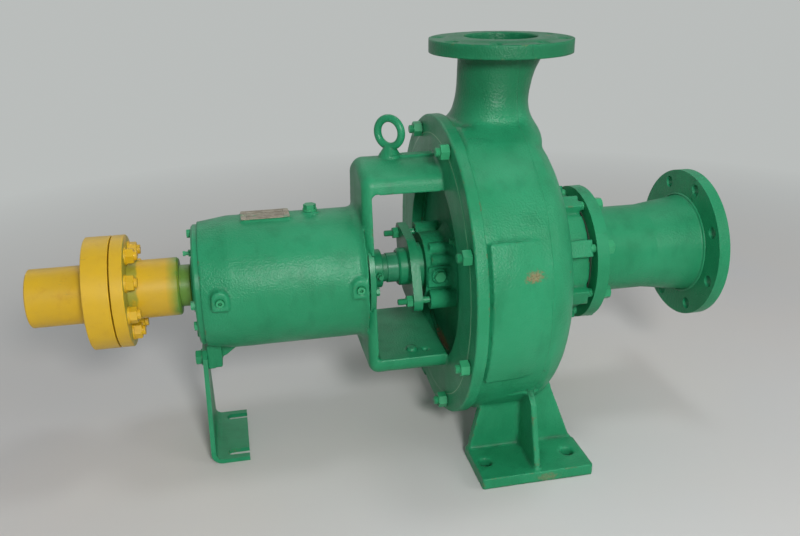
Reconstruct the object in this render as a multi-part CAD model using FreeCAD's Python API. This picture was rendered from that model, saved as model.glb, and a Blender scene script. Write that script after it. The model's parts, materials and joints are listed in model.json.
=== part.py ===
import FreeCAD, Part
import math
import os

# End-suction centrifugal pump with its bearing bracket and pin coupling.
# Millimetres.  X runs along the shaft towards the suction side, Z is up, -Y is the near side.
# Every piece is drawn round the shaft line (y = 0, z = 0) and lifted by AXIS_HEIGHT on export.
# Angles are measured from the top towards the near side.

# Main sizes
AXIS_HEIGHT = 315.0
DISCHARGE_HEIGHT = 400.0
SUCTION_FACE_X = 400.0

# Fit gaps
STATIC_GAP = 0.3
RUNNING_GAP = 0.06
BALL_GAP = 0.1
THREAD_SLIP = 0.1

# Discharge flange and neck
DISCHARGE_OD = 245.0
DISCHARGE_BORE = 125.0
DISCHARGE_THICK = 26.0
DISCHARGE_PCD = 210.0
DISCHARGE_HOLE = 18.0
FLANGE_HOLES = 8
RAISED_FACE = 3.0
DISCHARGE_FACE_OD = 184.0

# Suction spool
SUCTION_OD = 280.0
SUCTION_BORE = 150.0
SUCTION_PCD = 240.0
SUCTION_HOLE = 22.0
SUCTION_THICK = 24.6
SPOOL_START_X = 150.0
SPOOL_FLANGE_OD = 248.0
SPOOL_FLANGE_THICK = 22.3
SPOOL_PIPE_OD = 159.0
SPOOL_CONE_X = 288.0
SPOOL_CONE_R = 91.0
SPOOL_BOLT_PCD = 222.0
SUCTION_HOLE_START = 18.5
GASKET = 2.0

# Rim shared by bracket and casing; radii below it are steps inward from its edge
RIM_R = 270.0
RIM_JOINT_X = -95.5
STUD_EDGE = 21.0
STUD_CIRCLE_R = RIM_R - STUD_EDGE
STUD_COUNT = 8
STUD_D = 16.0
STUD_DEPTH = 32.0

# Casing
CASING_LEFT_X = RIM_JOINT_X
FLANGE_RING_R = RIM_R - 6.5
FLANGE_RING_X = -72.0
DRUM_R = RIM_R - 8.0
DRUM_LEFT_X = -80.0
DRUM_END_X = 10.0
PAD_R = RIM_R
NECK_WALL = 9.0
NECK_TOP_R = 73.5
PAD_TOP_Z = 118.0
PAD_LOW_Z = -122.0
PAD_LEFT_X = -90.0
SHOULDER_X = 66.0
SHOULDER_R = DRUM_R - 76.0
NOSE_X = 85.0
NOSE_R = 108.0
LUG_R = 124.0
LUG_WIDE = 30.0
LUG_END_X = 142.0
CASING_SEAT_R = STUD_CIRCLE_R - 21.0
CASING_BORE_R = CASING_SEAT_R - 16.0
CHAMBER_LEFT_X = -56.0
CHAMBER_FLAT_X = 6.0
CHAMBER_RIGHT_X = 30.0
CHAMBER_DROP = 46.0
CHAMBER_WALL = 24.0
VOLUTE_START = -14.0
VOLUTE_RISE = 60.0
VOLUTE_END = 322.0
VOLUTE_GROWTH = 27.0
SECTION_COUNT = 15
LOFT_DEGREE = 2

# Feet
FOOT_LEFT_X = -95.0
FOOT_RIGHT_X = 103.0
FOOT_OUT_Y = 260.0
FOOT_IN_Y = 150.0
FOOT_THICK = 20.0
FOOT_HOLE = 22.0
FOOT_PITCH_X = 150.0
FOOT_PITCH_Y = 420.0
FOOT_WEB_Y = 167.0
FOOT_WEB_THICK = 16.0
FOOT_RIB_THICK = 10.0

# Cover and stuffing box
COVER_LEFT_X = RIM_JOINT_X
COVER_FACE_X = -90.0
COVER_SEAT_X = -74.0
COVER_WET_X = -60.0
BOX_R = 60.0
BOX_BORE_R = 42.0
BOX_LEFT_X = -143.0
BOX_BOTTOM_X = -84.0
PACKING_STEP = 14.0
SLEEVE_R = 27.0
THROAT_R = 36.0
THROAT_X = -74.0

# Bracket
RIM_THICK = 21.2
RIM_STEP_R = RIM_R - 32.0
RIM_BORE_R = STUD_CIRCLE_R - 77.0
LANTERN_HALF_LOW = 113.0
LANTERN_HALF_TOP = 72.0
LANTERN_TOP_Z = 180.0
LANTERN_CROWN_Z = 204.0
LANTERN_LOW_Z = -161.0
LANTERN_CORNER = 24.0
LANTERN_EDGE = 18.0
WINDOW_TOP_Z = 158.0
WINDOW_LOW_Z = -130.0
WALL_LEFT_X = -256.5
WALL_RIGHT_X = -240.5
BARREL_R = 115.0
BARREL_CAVITY_R = 92.0
BARREL_END_X = -529.7
BARREL_TAPER_X = BARREL_END_X + 48.7
BARREL_END_R = 108.0
EYE_BOSS_X = -194.5
EYE_BOSS_Z = 210.0

# Bearings
BEARING_BORE_R = 32.5
BEARING_R = 70.0
BEARING_WIDE = 33.0
BALL_R = 12.0
BALL_COUNT = 8
PITCH_R = 51.25
DRIVE_BEARING_X = BARREL_END_X + 9.7
PUMP_BEARING_X = -285.0
SEAT_LIP_R = 62.0

# Shaft line
SHAFT_COUPLING_R = 24.0
SHAFT_MID_R = 36.0
SHAFT_SHOULDER_R = 40.0
SHAFT_NECK_R = 25.0
SHAFT_WET_R = 22.0
SHAFT_THREAD_R = 15.0
SHAFT_LEFT_X = -668.0
SHAFT_RIGHT_X = 46.0
IMPELLER_HUB_LEFT_X = -56.0
IMPELLER_HUB_RIGHT_X = 18.0
SLEEVE_LEFT_X = -206.0
NUT_LEFT_X = DRIVE_BEARING_X - 14.0

# Impeller
IMPELLER_R = CASING_BORE_R - 12.0
IMPELLER_EYE_R = 80.0
IMPELLER_NECK_R = 89.0
IMPELLER_NECK_X = 78.0
BLADE_COUNT = 6
BLADE_THICK = 6.0
WEAR_RING_R = 100.0
WEAR_RING_LEFT_X = 54.0

# Covers
DRIVE_COVER_R = 104.0
DRIVE_COVER_FACE_X = BARREL_END_X - 10.3
DRIVE_HUB_R = 50.0
DRIVE_HUB_X = DRIVE_COVER_FACE_X - 6.0
DRIVE_BOLT_R = 93.0
COLLAR_RIGHT_X = DRIVE_HUB_X - 1.0
COLLAR_LEFT_X = COLLAR_RIGHT_X - 18.8
COLLAR_R = 36.0
PUMP_COVER_R = 102.0
PUMP_COVER_FACE_X = WALL_RIGHT_X
PUMP_COVER_THICK = 10.0
PUMP_HUB_R = 35.0
PUMP_HUB_X = -215.5
PUMP_BOLT_R = 88.0
PUMP_BOLT_START = 5.5
PUMP_NIPPLE_X = -222.5

# Gland
GLAND_ANGLE = 127.0
GLAND_STUD_R = 74.0
GLAND_STUD_D = 12.0
GLAND_PLATE_LEFT_X = -170.0
GLAND_PLATE_RIGHT_X = -154.0
GLAND_HUB_LEFT_X = -186.0
GLAND_HUB_R = 34.0
GLAND_NOSE_X = -140.0
GLAND_BOSS_X = -139.0
GLAND_BOSS_R = 17.5
GLAND_BORE_R = 28.0

# Coupling
MOTOR_HUB_LEFT_X = -809.6
MOTOR_FLANGE_LEFT_X = -713.2
MOTOR_FLANGE_RIGHT_X = -671.5
PUMP_FLANGE_LEFT_X = -669.5
PUMP_FLANGE_RIGHT_X = -649.0
COUPLING_R = 95.6
COUPLING_HUB_R = 50.0
PIN_CIRCLE_R = 70.0
PIN_START = 14.5
PIN_COUNT = 8
PIN_R = 9.0
BUSH_R = 15.5
BUSH_HOLE_R = 16.0
KEY_WIDE = 14.0
KEY_TALL = 9.0

# Support leg
LEG_LEFT_X = BARREL_END_X - 11.9
LEG_THICK = 8.0
LEG_TOE_X = LEG_LEFT_X + 66.6
LEG_HALF_LOW = 82.0
LEG_HALF_TOP = 30.0
LEG_TOP_Z = -120.0
LEG_BOLT_Z = -141.0
LEG_BOSS_RIGHT_X = BARREL_END_X + 21.7
LEG_SLOT_Y = 61.0
LEG_SLOT_R = 9.0
LEG_SLOT_LONG = 38.0
LEG_BEND_R = 12.0

# Drain
DRAIN_X = -20.0
DRAIN_R = 10.0

# Seal water boss and cover screws
SEAL_X = -122.5
SEAL_BOSS_R = 70.0
SEAL_ANGLE = 88.0
BOX_PANEL_Y = 64.0
BOX_RIB_R = 10.0
BOX_RIB_ANGLES = (41.0, 64.0, 221.0, 244.0)
JACK_R = 5.0
JACK_REACH = 18.0
JACK_CIRCLE_R = 106.0
JACK_ANGLES = (49.0, 229.0)

# Drive-end nipple
NIPPLE_R = 70.0
NIPPLE_ANGLE = 19.0

# Bracket bosses, plugs and nameplate
SIDE_BOSSES_X = (BARREL_END_X + 29.7, WALL_LEFT_X - 13.5)
SIDE_BOSS_R = 14.0
SIDE_BOSS_Z = 16.0
SIDE_BOSS_LOW_Z = -5.0
SIDE_BOSS_FACE = 121.0
SIDE_PLUG_Z = 10.0
TOP_PLUG_X = -337.0
TOP_PAD_Z = 119.0
PLATE_X0 = -455.0
PLATE_X1 = -373.0
PLATE_HALF = 24.0
PLATE_Z = 117.0
PLATE_THICK = 1.2

# Lifting eye
EYE_RING_Z = 246.5
EYE_RING_R = 24.2
EYE_WIRE_R = 6.6
EYE_TURN = 45.0

ORIGIN = FreeCAD.Vector(0, 0, 0)
ALONG_X = FreeCAD.Vector(1, 0, 0)
ALONG_Y = FreeCAD.Vector(0, 1, 0)
ALONG_Z = FreeCAD.Vector(0, 0, 1)
FLOOR_Z = -AXIS_HEIGHT
RIM_LEFT_X = RIM_JOINT_X - RIM_THICK
PUMP_SEAT_X = PUMP_COVER_FACE_X - PUMP_COVER_THICK


def vec(x, y, z):
    return FreeCAD.Vector(x, y, z)


def radial(angle, r, x=0.0):
    """Point at a radius and angle round the shaft line."""
    turn = math.radians(angle)
    return vec(x, -r * math.sin(turn), r * math.cos(turn))


def outline(points):
    """Closed wire in the XZ plane; an entry of two points is an arc through the first."""
    edges = []
    last = vec(points[0][0], 0, points[0][1])
    start = last
    for entry in points[1:]:
        if isinstance(entry[0], tuple):
            mid = vec(entry[0][0], 0, entry[0][1])
            end = vec(entry[1][0], 0, entry[1][1])
            edges.append(Part.Arc(last, mid, end).toShape())
        else:
            end = vec(entry[0], 0, entry[1])
            edges.append(Part.makeLine(last, end))
        last = end
    if last.distanceToPoint(start) > 1e-6:
        edges.append(Part.makeLine(last, start))
    return Part.Wire(edges)


def turned(points):
    """Solid of revolution round the shaft line from (x, r) points."""
    return Part.Face(outline(points)).revolve(ORIGIN, ALONG_X, 360)


def rod(x0, x1, r, y=0.0, z=0.0):
    return Part.makeCylinder(r, x1 - x0, vec(x0, y, z), ALONG_X)


def tube(x0, x1, outer, inner):
    return rod(x0, x1, outer).cut(rod(x0 - 1, x1 + 1, inner))


def post(z0, z1, r, x=0.0, y=0.0):
    return Part.makeCylinder(r, z1 - z0, vec(x, y, z0), ALONG_Z)


def block(x0, x1, y0, y1, z0, z1):
    return Part.makeBox(x1 - x0, y1 - y0, z1 - z0, vec(x0, y0, z0))


def spun(shape, angle):
    """Copy turned round the shaft line."""
    copy = shape.copy()
    copy.rotate(ORIGIN, ALONG_X, angle)
    return copy


def ring_of(shape, count, start=0.0):
    return [spun(shape, start + k * 360.0 / count) for k in range(count)]


def hexagon_x(x0, x1, across, r=0.0, chamfer=None):
    """Hexagon prism along X whose centre stands above the shaft line by r."""
    corner = across / math.sqrt(3)
    points = [vec(x0, corner * math.sin(math.radians(60 * k)), r + corner * math.cos(math.radians(60 * k)))
              for k in range(7)]
    prism = Part.Face(Part.makePolygon(points)).extrude(vec(x1 - x0, 0, 0))
    if chamfer is None:
        return prism
    drop = 0.3 * (corner - across / 2 + 1.2)
    wide = across / 2 * 0.97
    if chamfer == "left":
        cone = Part.makeCone(wide, corner + 0.4, drop * 2, vec(x0, 0, r), ALONG_X)
        body = rod(x0 + drop * 2, x1, corner + 0.4, 0, r)
    else:
        cone = Part.makeCone(corner + 0.4, wide, drop * 2, vec(x1 - drop * 2, 0, r), ALONG_X)
        body = rod(x0, x1 - drop * 2, corner + 0.4, 0, r)
    return prism.common(cone.fuse(body))


def hexagon_z(z0, z1, across, x, y):
    corner = across / math.sqrt(3)
    turns = [math.radians(60 * k) for k in range(7)]
    points = [vec(x + corner * math.cos(turn), y + corner * math.sin(turn), z0) for turn in turns]
    return Part.Face(Part.makePolygon(points)).extrude(vec(0, 0, z1 - z0))


def loop_at(z, centre_x, centre_y, half_x, half_y, power=2.0, count=16):
    """Smooth closed curve in a level plane; a power above 2 makes it squarer than an ellipse."""
    def reach(value):
        return math.copysign(abs(value) ** (2.0 / power), value) if abs(value) > 1e-9 else 0.0
    points = []
    for k in range(count):
        turn = 2 * math.pi * k / count
        points.append(vec(centre_x + half_x * reach(math.cos(turn)),
                          centre_y + half_y * reach(math.sin(turn)), z))
    curve = Part.BSplineCurve()
    curve.interpolate(Points=points, PeriodicFlag=True, Parameters=[k / count for k in range(count + 1)])
    return Part.Wire([curve.toShape()])


def smooth_loft(wires):
    """Solid through sections; the low degree keeps it from swinging out between them."""
    return Part.makeLoft(wires, True, False, False, LOFT_DEGREE)


def first_solid(shape):
    """Largest solid of a result."""
    return max(shape.Solids, key=lambda s: s.Volume)


def fixings(make, places):
    """Compound of separate solids, one for each angle."""
    return Part.makeCompound([spun(make, angle) for angle in places])


def eight(start=22.5):
    return [start + 45.0 * k for k in range(8)]


# Casing

def spiral_radius(angle):
    """Outer radius of the volute wall at an angle."""
    share = (angle - VOLUTE_RISE) / (VOLUTE_END - VOLUTE_RISE)
    return DRUM_R + VOLUTE_GROWTH * max(0.0, share) ** 1.5


def volute_wire(outer, left, right, shoulder_x, base_r, drop):
    """Section of the volute, flat on top with a bevelled left edge and a rounded right shoulder."""
    mid_x = right + (shoulder_x - right) * 0.7071
    mid_r = outer - drop * 0.2929
    return outline([
        (left, base_r), (left, outer - 7), (left + 7, outer),
        (right, outer), ((mid_x, mid_r), (shoulder_x, outer - drop)), (shoulder_x, base_r)])


def volute_loft(grow, left, right, shoulder_x, base_r, drop):
    """Body of growing section wound round the shaft line."""
    wires = []
    for k in range(SECTION_COUNT):
        angle = VOLUTE_START + (VOLUTE_END - VOLUTE_START) * k / (SECTION_COUNT - 1)
        wire = volute_wire(spiral_radius(angle) - grow, left, right, shoulder_x, base_r, drop)
        wires.append(spun(wire, angle))
    return smooth_loft(wires)


NECK_ROWS = [
    # height, left x, right x, near y, far y, squareness
    (150.0, -86.0, 62.0, -122.0, 207.0, 2.6),
    (185.0, -88.0, 63.0, -122.0, 190.0, 2.6),
    (212.0, -88.5, 63.5, -121.0, 166.0, 2.7),
    (228.0, -88.5, 63.5, -118.0, 149.0, 2.8),
    (240.0, -88.0, 62.5, -111.0, 131.0, 2.8),
    (251.0, -86.5, 60.0, -99.0, 115.0, 2.7),
    (260.0, -83.5, 56.5, -86.0, 101.0, 2.5),
    (270.0, -80.5, 52.5, -75.5, 88.0, 2.3),
    (288.0, -77.5, 48.5, -69.0, 74.0, 2.1),
    (310.0, -75.0, 50.0, -66.0, 67.5, 2.0),
    (334.0, -74.0, 55.0, -66.0, 66.0, 2.0),
    (356.0, -73.0, 64.0, -69.0, 69.0, 2.0),
]


def neck_loft(inset, top_r, top_z):
    wires = []
    for z, left, right, near, far, power in NECK_ROWS:
        wires.append(loop_at(z, (left + right) / 2, (near + far) / 2,
                             (right - left) / 2 - inset, (far - near) / 2 - inset, power))
    wires.append(loop_at(top_z, 0.0, 0.0, top_r, top_r))
    return smooth_loft(wires)


def foot(side):
    """Foot with its web and rib; side is -1 near and +1 far."""
    top = FLOOR_Z + FOOT_THICK
    y0 = min(side * FOOT_IN_Y, side * FOOT_OUT_Y)
    plate = block(FOOT_LEFT_X, FOOT_RIGHT_X, y0, y0 + FOOT_OUT_Y - FOOT_IN_Y, FLOOR_Z, top)
    uprights = [e for e in plate.Edges if abs(e.tangentAt(e.FirstParameter).z) > 0.99]
    plate = plate.makeFillet(4, uprights)
    web_y = min(side * FOOT_WEB_Y, side * (FOOT_WEB_Y - FOOT_WEB_THICK))
    web_points = [vec(-92, web_y, top - 1), vec(98, web_y, top - 1), vec(57, web_y, -190),
                  vec(45, web_y, -140), vec(-66, web_y, -140), vec(-68, web_y, -190),
                  vec(-92, web_y, top - 1)]
    web = Part.Face(Part.makePolygon(web_points)).extrude(vec(0, FOOT_WEB_THICK, 0))
    rib_x = 4 - FOOT_RIB_THICK / 2
    inner = side * (FOOT_WEB_Y - 4)
    outer = side * (FOOT_OUT_Y - 5)
    knee = outer - side * 38
    rib_points = [vec(rib_x, outer, top - 1), vec(rib_x, inner, top - 1), vec(rib_x, inner, -150),
                  vec(rib_x, knee - side * 3, -150), vec(rib_x, knee, -172), vec(rib_x, outer, top - 1)]
    rib = Part.Face(Part.makePolygon(rib_points)).extrude(vec(FOOT_RIB_THICK, 0, 0))
    return plate.multiFuse([web, rib])


def volute_casing():
    drop = DRUM_R - SHOULDER_R
    core_r = CASING_BORE_R - 8
    drum = turned([
        (CASING_LEFT_X, 0), (CASING_LEFT_X, FLANGE_RING_R), (FLANGE_RING_X, FLANGE_RING_R),
        (FLANGE_RING_X, core_r), (SHOULDER_X - 16, core_r), (SHOULDER_X - 4, SHOULDER_R - 2),
        (NOSE_X, NOSE_R + 14), (NOSE_X + 12, NOSE_R), (LUG_END_X, NOSE_R), (LUG_END_X, SUCTION_BORE / 2 + 22),
        (SPOOL_START_X - GASKET, SUCTION_BORE / 2 + 22), (SPOOL_START_X - GASKET, 0)])
    spiral = volute_loft(0, DRUM_LEFT_X, DRUM_END_X, SHOULDER_X, 150.0, drop)
    pad_ring = tube(PAD_LEFT_X, DRUM_END_X, PAD_R, DRUM_R - 30)
    pads = [pad_ring.common(block(PAD_LEFT_X - 1, DRUM_END_X + 1, -PAD_R - 1, -100, PAD_LOW_Z, PAD_TOP_Z))]
    lug = block(NOSE_X + 5, LUG_END_X, -LUG_WIDE / 2, LUG_WIDE / 2, NOSE_R - 30, LUG_R)
    lugs = ring_of(lug, 8, 22.5)
    neck = neck_loft(0, NECK_TOP_R, DISCHARGE_HEIGHT - DISCHARGE_THICK)
    flange_low = DISCHARGE_HEIGHT - DISCHARGE_THICK
    flange = post(flange_low, DISCHARGE_HEIGHT - RAISED_FACE, DISCHARGE_OD / 2)
    face = post(flange_low, DISCHARGE_HEIGHT, DISCHARGE_FACE_OD / 2)
    body = drum.multiFuse([spiral, neck, flange, face, foot(-1), foot(1)] + pads + lugs)
    # wet passages
    wet = turned([
        (CASING_LEFT_X - 1, 0), (CASING_LEFT_X - 1, CASING_SEAT_R + STATIC_GAP),
        (COVER_SEAT_X + GASKET, CASING_SEAT_R + STATIC_GAP), (COVER_SEAT_X + GASKET, CASING_BORE_R),
        (CHAMBER_RIGHT_X - 10, CASING_BORE_R), (CHAMBER_RIGHT_X - 8, CASING_BORE_R - 7),
        (WEAR_RING_LEFT_X, WEAR_RING_R + 4), (WEAR_RING_LEFT_X, WEAR_RING_R),
        (IMPELLER_NECK_X + 2, WEAR_RING_R), (IMPELLER_NECK_X + 2, SUCTION_BORE / 2 + 6),
        (IMPELLER_NECK_X + 26, SUCTION_BORE / 2), (SPOOL_START_X, SUCTION_BORE / 2), (SPOOL_START_X, 0)])
    spiral_room = volute_loft(CHAMBER_WALL, CHAMBER_LEFT_X, CHAMBER_FLAT_X, CHAMBER_RIGHT_X, 160.0,
                              CHAMBER_DROP)
    neck_room = neck_loft(NECK_WALL, DISCHARGE_BORE / 2 - 1.0, flange_low + 6)
    outlet = post(flange_low - 6, DISCHARGE_HEIGHT + 1, DISCHARGE_BORE / 2)
    for room in (wet, spiral_room, neck_room, outlet):
        body = body.cut(room)
    cuts = []
    stud_hole = rod(CASING_LEFT_X - 1, CASING_LEFT_X + STUD_DEPTH, STUD_D / 2, 0, STUD_CIRCLE_R)
    cuts += ring_of(stud_hole, STUD_COUNT, 22.5)
    lug_hole = rod(LUG_END_X - 26, LUG_END_X + 1, 8.0, 0, SPOOL_BOLT_PCD / 2)
    cuts += ring_of(lug_hole, 8, 22.5)
    for k in range(FLANGE_HOLES):
        turn = math.radians(22.5 + 45 * k)
        cuts.append(post(flange_low - 5, DISCHARGE_HEIGHT + 1, DISCHARGE_HOLE / 2,
                         DISCHARGE_PCD / 2 * math.cos(turn), DISCHARGE_PCD / 2 * math.sin(turn)))
    for sx in (-1, 1):
        for sy in (-1, 1):
            cuts.append(post(FLOOR_Z - 1, FLOOR_Z + FOOT_THICK + 1, FOOT_HOLE / 2,
                             sx * FOOT_PITCH_X / 2, sy * FOOT_PITCH_Y / 2))
    cuts.append(drain_hole())
    return first_solid(body.cut(Part.makeCompound(cuts)))


def drain_hole():
    return post(-DRUM_R - 40, -DRUM_R + CHAMBER_WALL + 12, DRAIN_R, DRAIN_X, 0)


def casing_drain_plug():
    low = -spiral_radius(180.0) - STATIC_GAP
    stem = post(low, low + 20, DRAIN_R, DRAIN_X, 0)
    return stem.fuse(hexagon_z(low - 11, low, 24, DRAIN_X, 0))


def casing_wear_ring():
    return turned([
        (WEAR_RING_LEFT_X, IMPELLER_NECK_R + RUNNING_GAP), (WEAR_RING_LEFT_X, WEAR_RING_R),
        (IMPELLER_NECK_X + 2, WEAR_RING_R), (IMPELLER_NECK_X + 2, IMPELLER_NECK_R + RUNNING_GAP)])


def suction_gasket():
    return tube(SPOOL_START_X - GASKET, SPOOL_START_X, SUCTION_BORE / 2 + 22, SUCTION_BORE / 2 + 1)


def suction_spool():
    pipe_r = SPOOL_PIPE_OD / 2
    end = SPOOL_START_X + SPOOL_FLANGE_THICK
    face_x = SUCTION_FACE_X - SUCTION_THICK
    body = turned([
        (SPOOL_START_X, SUCTION_BORE / 2), (SPOOL_START_X, SPOOL_FLANGE_OD / 2),
        (end, SPOOL_FLANGE_OD / 2), (end, pipe_r + 6), ((end + 2, pipe_r + 2), (end + 6, pipe_r)),
        (SPOOL_CONE_X, pipe_r), (face_x - 5, SPOOL_CONE_R),
        ((face_x - 2, SPOOL_CONE_R + 1.5), (face_x, SPOOL_CONE_R + 5)),
        (face_x, SUCTION_OD / 2), (SUCTION_FACE_X - RAISED_FACE, SUCTION_OD / 2),
        (SUCTION_FACE_X - RAISED_FACE, 106.0), (SUCTION_FACE_X, 106.0), (SUCTION_FACE_X, SUCTION_BORE / 2)])
    holes = ring_of(rod(face_x - 1, SUCTION_FACE_X + 1, SUCTION_HOLE / 2, 0, SUCTION_PCD / 2), 8,
                    SUCTION_HOLE_START)
    holes += ring_of(rod(SPOOL_START_X - 1, end + 1, 9.0, 0, SPOOL_BOLT_PCD / 2), 8, 22.5)
    return first_solid(body.cut(Part.makeCompound(holes)))


def suction_spool_bolts():
    head_x = SPOOL_START_X + SPOOL_FLANGE_THICK
    stem = rod(LUG_END_X - 24, head_x, 8.0, 0, SPOOL_BOLT_PCD / 2)
    head = hexagon_x(head_x, head_x + 12, 24, SPOOL_BOLT_PCD / 2, "right")
    return fixings(stem.fuse(head), eight())


# Cover, stuffing box and packing

def casing_cover():
    dish = 12.0
    body = turned([
        (COVER_LEFT_X, RIM_BORE_R), (COVER_LEFT_X, CASING_SEAT_R), (COVER_SEAT_X, CASING_SEAT_R),
        (COVER_SEAT_X, CASING_BORE_R - STATIC_GAP), (COVER_WET_X, CASING_BORE_R - STATIC_GAP),
        (COVER_WET_X, THROAT_R), (THROAT_X, THROAT_R), (THROAT_X, GLAND_BORE_R),
        (BOX_BOTTOM_X, GLAND_BORE_R), (BOX_BOTTOM_X, BOX_BORE_R), (BOX_LEFT_X, BOX_BORE_R),
        (BOX_LEFT_X, BOX_R), (COVER_FACE_X - dish, BOX_R), (COVER_FACE_X, BOX_R + dish),
        (COVER_FACE_X, RIM_BORE_R)])
    boss = rod(GLAND_BOSS_X, COVER_FACE_X + 1, GLAND_BOSS_R, 0, GLAND_STUD_R)
    rib = block(GLAND_BOSS_X, COVER_FACE_X + 1, -9, 9, BOX_BORE_R + 6, GLAND_STUD_R)
    extras = [spun(boss, a) for a in (GLAND_ANGLE, GLAND_ANGLE + 180)]
    extras += [spun(rib, a) for a in (GLAND_ANGLE, GLAND_ANGLE + 180)]
    # round ribs, and a flat panel with the boss of the seal water plug on the near side
    box_rib = rod(BOX_LEFT_X + 9, COVER_FACE_X + 1, BOX_RIB_R, 0, BOX_R - 2)
    extras += [spun(box_rib, a) for a in BOX_RIB_ANGLES]
    extras.append(block(BOX_LEFT_X + 2, COVER_FACE_X + 1, -BOX_PANEL_Y, -BOX_BORE_R - 6, -20, 17))
    extras.append(spun(post(BOX_BORE_R + 6, SEAL_BOSS_R, 13.0, SEAL_X, 0), SEAL_ANGLE))
    body = body.multiFuse(extras)
    cuts = [spun(rod(GLAND_BOSS_X - 1, GLAND_BOSS_X + 34, GLAND_STUD_D / 2, 0, GLAND_STUD_R), a)
            for a in (GLAND_ANGLE, GLAND_ANGLE + 180)]
    cuts += [spun(rod(COVER_FACE_X - 1, COVER_FACE_X + 16, JACK_R, 0, JACK_CIRCLE_R), a) for a in JACK_ANGLES]
    cuts.append(spun(post(BOX_BORE_R - 1, SEAL_BOSS_R + 1, 6.0, SEAL_X, 0), SEAL_ANGLE))
    return first_solid(body.cut(Part.makeCompound(cuts)))


def cover_gasket():
    return tube(COVER_SEAT_X, COVER_SEAT_X + GASKET, CASING_SEAT_R - 1, CASING_BORE_R + 1)


def cover_jacking_screws():
    stem = rod(COVER_FACE_X - JACK_REACH, COVER_FACE_X + 12, JACK_R, 0, JACK_CIRCLE_R)
    nut = hexagon_x(COVER_FACE_X - 9, COVER_FACE_X, 17, JACK_CIRCLE_R, "left")
    return fixings(stem.fuse(nut), JACK_ANGLES)


def seal_water_plug():
    stem = post(BOX_BORE_R + 6, SEAL_BOSS_R, 6.0, SEAL_X, 0)
    head = hexagon_z(SEAL_BOSS_R, SEAL_BOSS_R + 7, 17, SEAL_X, 0)
    return spun(stem.fuse(head), SEAL_ANGLE)


def throat_bush():
    return tube(THROAT_X, COVER_WET_X, THROAT_R, SLEEVE_R + 0.5)


def packing_ring(left_x):
    return tube(left_x, left_x + PACKING_STEP, BOX_BORE_R, SLEEVE_R + RUNNING_GAP)


def rear_packing_rings():
    return Part.makeCompound([packing_ring(BOX_BOTTOM_X - PACKING_STEP * (k + 1)) for k in range(2)])


def front_packing_ring():
    return packing_ring(GLAND_NOSE_X)


def lantern_ring():
    left = BOX_BOTTOM_X - PACKING_STEP * 3
    mid = left + PACKING_STEP / 2
    out = BOX_BORE_R - 0.2
    low = SLEEVE_R + 0.4
    ring = turned([
        (left, low + 2), (left, out), (mid - 4, out), (mid - 4, out - 3), (mid + 4, out - 3), (mid + 4, out),
        (left + PACKING_STEP, out), (left + PACKING_STEP, low + 2), (mid + 4, low + 2), (mid + 4, low + 4),
        (mid - 4, low + 4), (mid - 4, low + 2)])
    holes = ring_of(post(low - 2, out + 2, 2.5, mid, 0), 6, 0.0)
    return first_solid(ring.cut(Part.makeCompound(holes)))


def gland_studs():
    stem = rod(GLAND_BOSS_X + 4, GLAND_BOSS_X + 34, GLAND_STUD_D / 2, 0, GLAND_STUD_R)
    stem = stem.fuse(rod(-196.0, GLAND_BOSS_X + 4, GLAND_STUD_D / 2, 0, GLAND_STUD_R))
    return fixings(stem.removeSplitter(), (GLAND_ANGLE, GLAND_ANGLE + 180))


def gland_follower():
    """Oval two-bolt plate with a hub outside and a nose in the box."""
    reach = GLAND_STUD_R
    ear = 19.0
    body = 56.0
    plates = []
    wide = rod(GLAND_PLATE_LEFT_X, GLAND_PLATE_RIGHT_X, body)
    for side in (0, 180):
        ear_disc = spun(rod(GLAND_PLATE_LEFT_X, GLAND_PLATE_RIGHT_X, ear, 0, reach), side)
        plates.append(ear_disc)
        slope = math.acos((body - ear) / reach)
        points = []
        for sign in (-1, 1):
            points.append((sign * body * math.sin(slope), body * math.cos(slope)))
            points.append((sign * ear * math.sin(slope), reach + ear * math.cos(slope)))
        corners = [points[0], points[1], points[3], points[2], points[0]]
        wire = Part.makePolygon([vec(GLAND_PLATE_LEFT_X, y, z) for y, z in corners])
        cheek = Part.Face(wire).extrude(vec(GLAND_PLATE_RIGHT_X - GLAND_PLATE_LEFT_X, 0, 0))
        plates.append(spun(cheek, side))
    plate = wide.multiFuse(plates).removeSplitter()
    nose = rod(GLAND_PLATE_RIGHT_X, GLAND_NOSE_X, BOX_BORE_R - THREAD_SLIP * 3)
    hub = Part.makeCone(GLAND_HUB_R - 3, GLAND_HUB_R, 3, vec(GLAND_HUB_LEFT_X, 0, 0), ALONG_X)
    hub = hub.fuse(rod(GLAND_HUB_LEFT_X + 3, GLAND_PLATE_LEFT_X, GLAND_HUB_R))
    whole = plate.multiFuse([nose, hub]).removeSplitter()
    cuts = [rod(GLAND_HUB_LEFT_X - 1, GLAND_NOSE_X + 1, GLAND_BORE_R)]
    cuts += [spun(rod(GLAND_PLATE_LEFT_X - 1, GLAND_PLATE_RIGHT_X + 1, GLAND_STUD_D / 2 + 0.6, 0, reach), a)
             for a in (0, 180)]
    return spun(first_solid(whole.cut(Part.makeCompound(cuts))), GLAND_ANGLE)


def gland_nuts():
    nut = hexagon_x(GLAND_PLATE_LEFT_X - 10.5, GLAND_PLATE_LEFT_X, 19, GLAND_STUD_R, "left")
    nut = nut.cut(rod(GLAND_PLATE_LEFT_X - 12, GLAND_PLATE_LEFT_X + 1, GLAND_STUD_D / 2 + THREAD_SLIP,
                      0, GLAND_STUD_R))
    return fixings(nut, (GLAND_ANGLE, GLAND_ANGLE + 180))


# Studs and nuts between bracket and casing

def casing_studs():
    return fixings(rod(RIM_LEFT_X - 22, CASING_LEFT_X + STUD_DEPTH, STUD_D / 2, 0, STUD_CIRCLE_R), eight())


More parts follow.
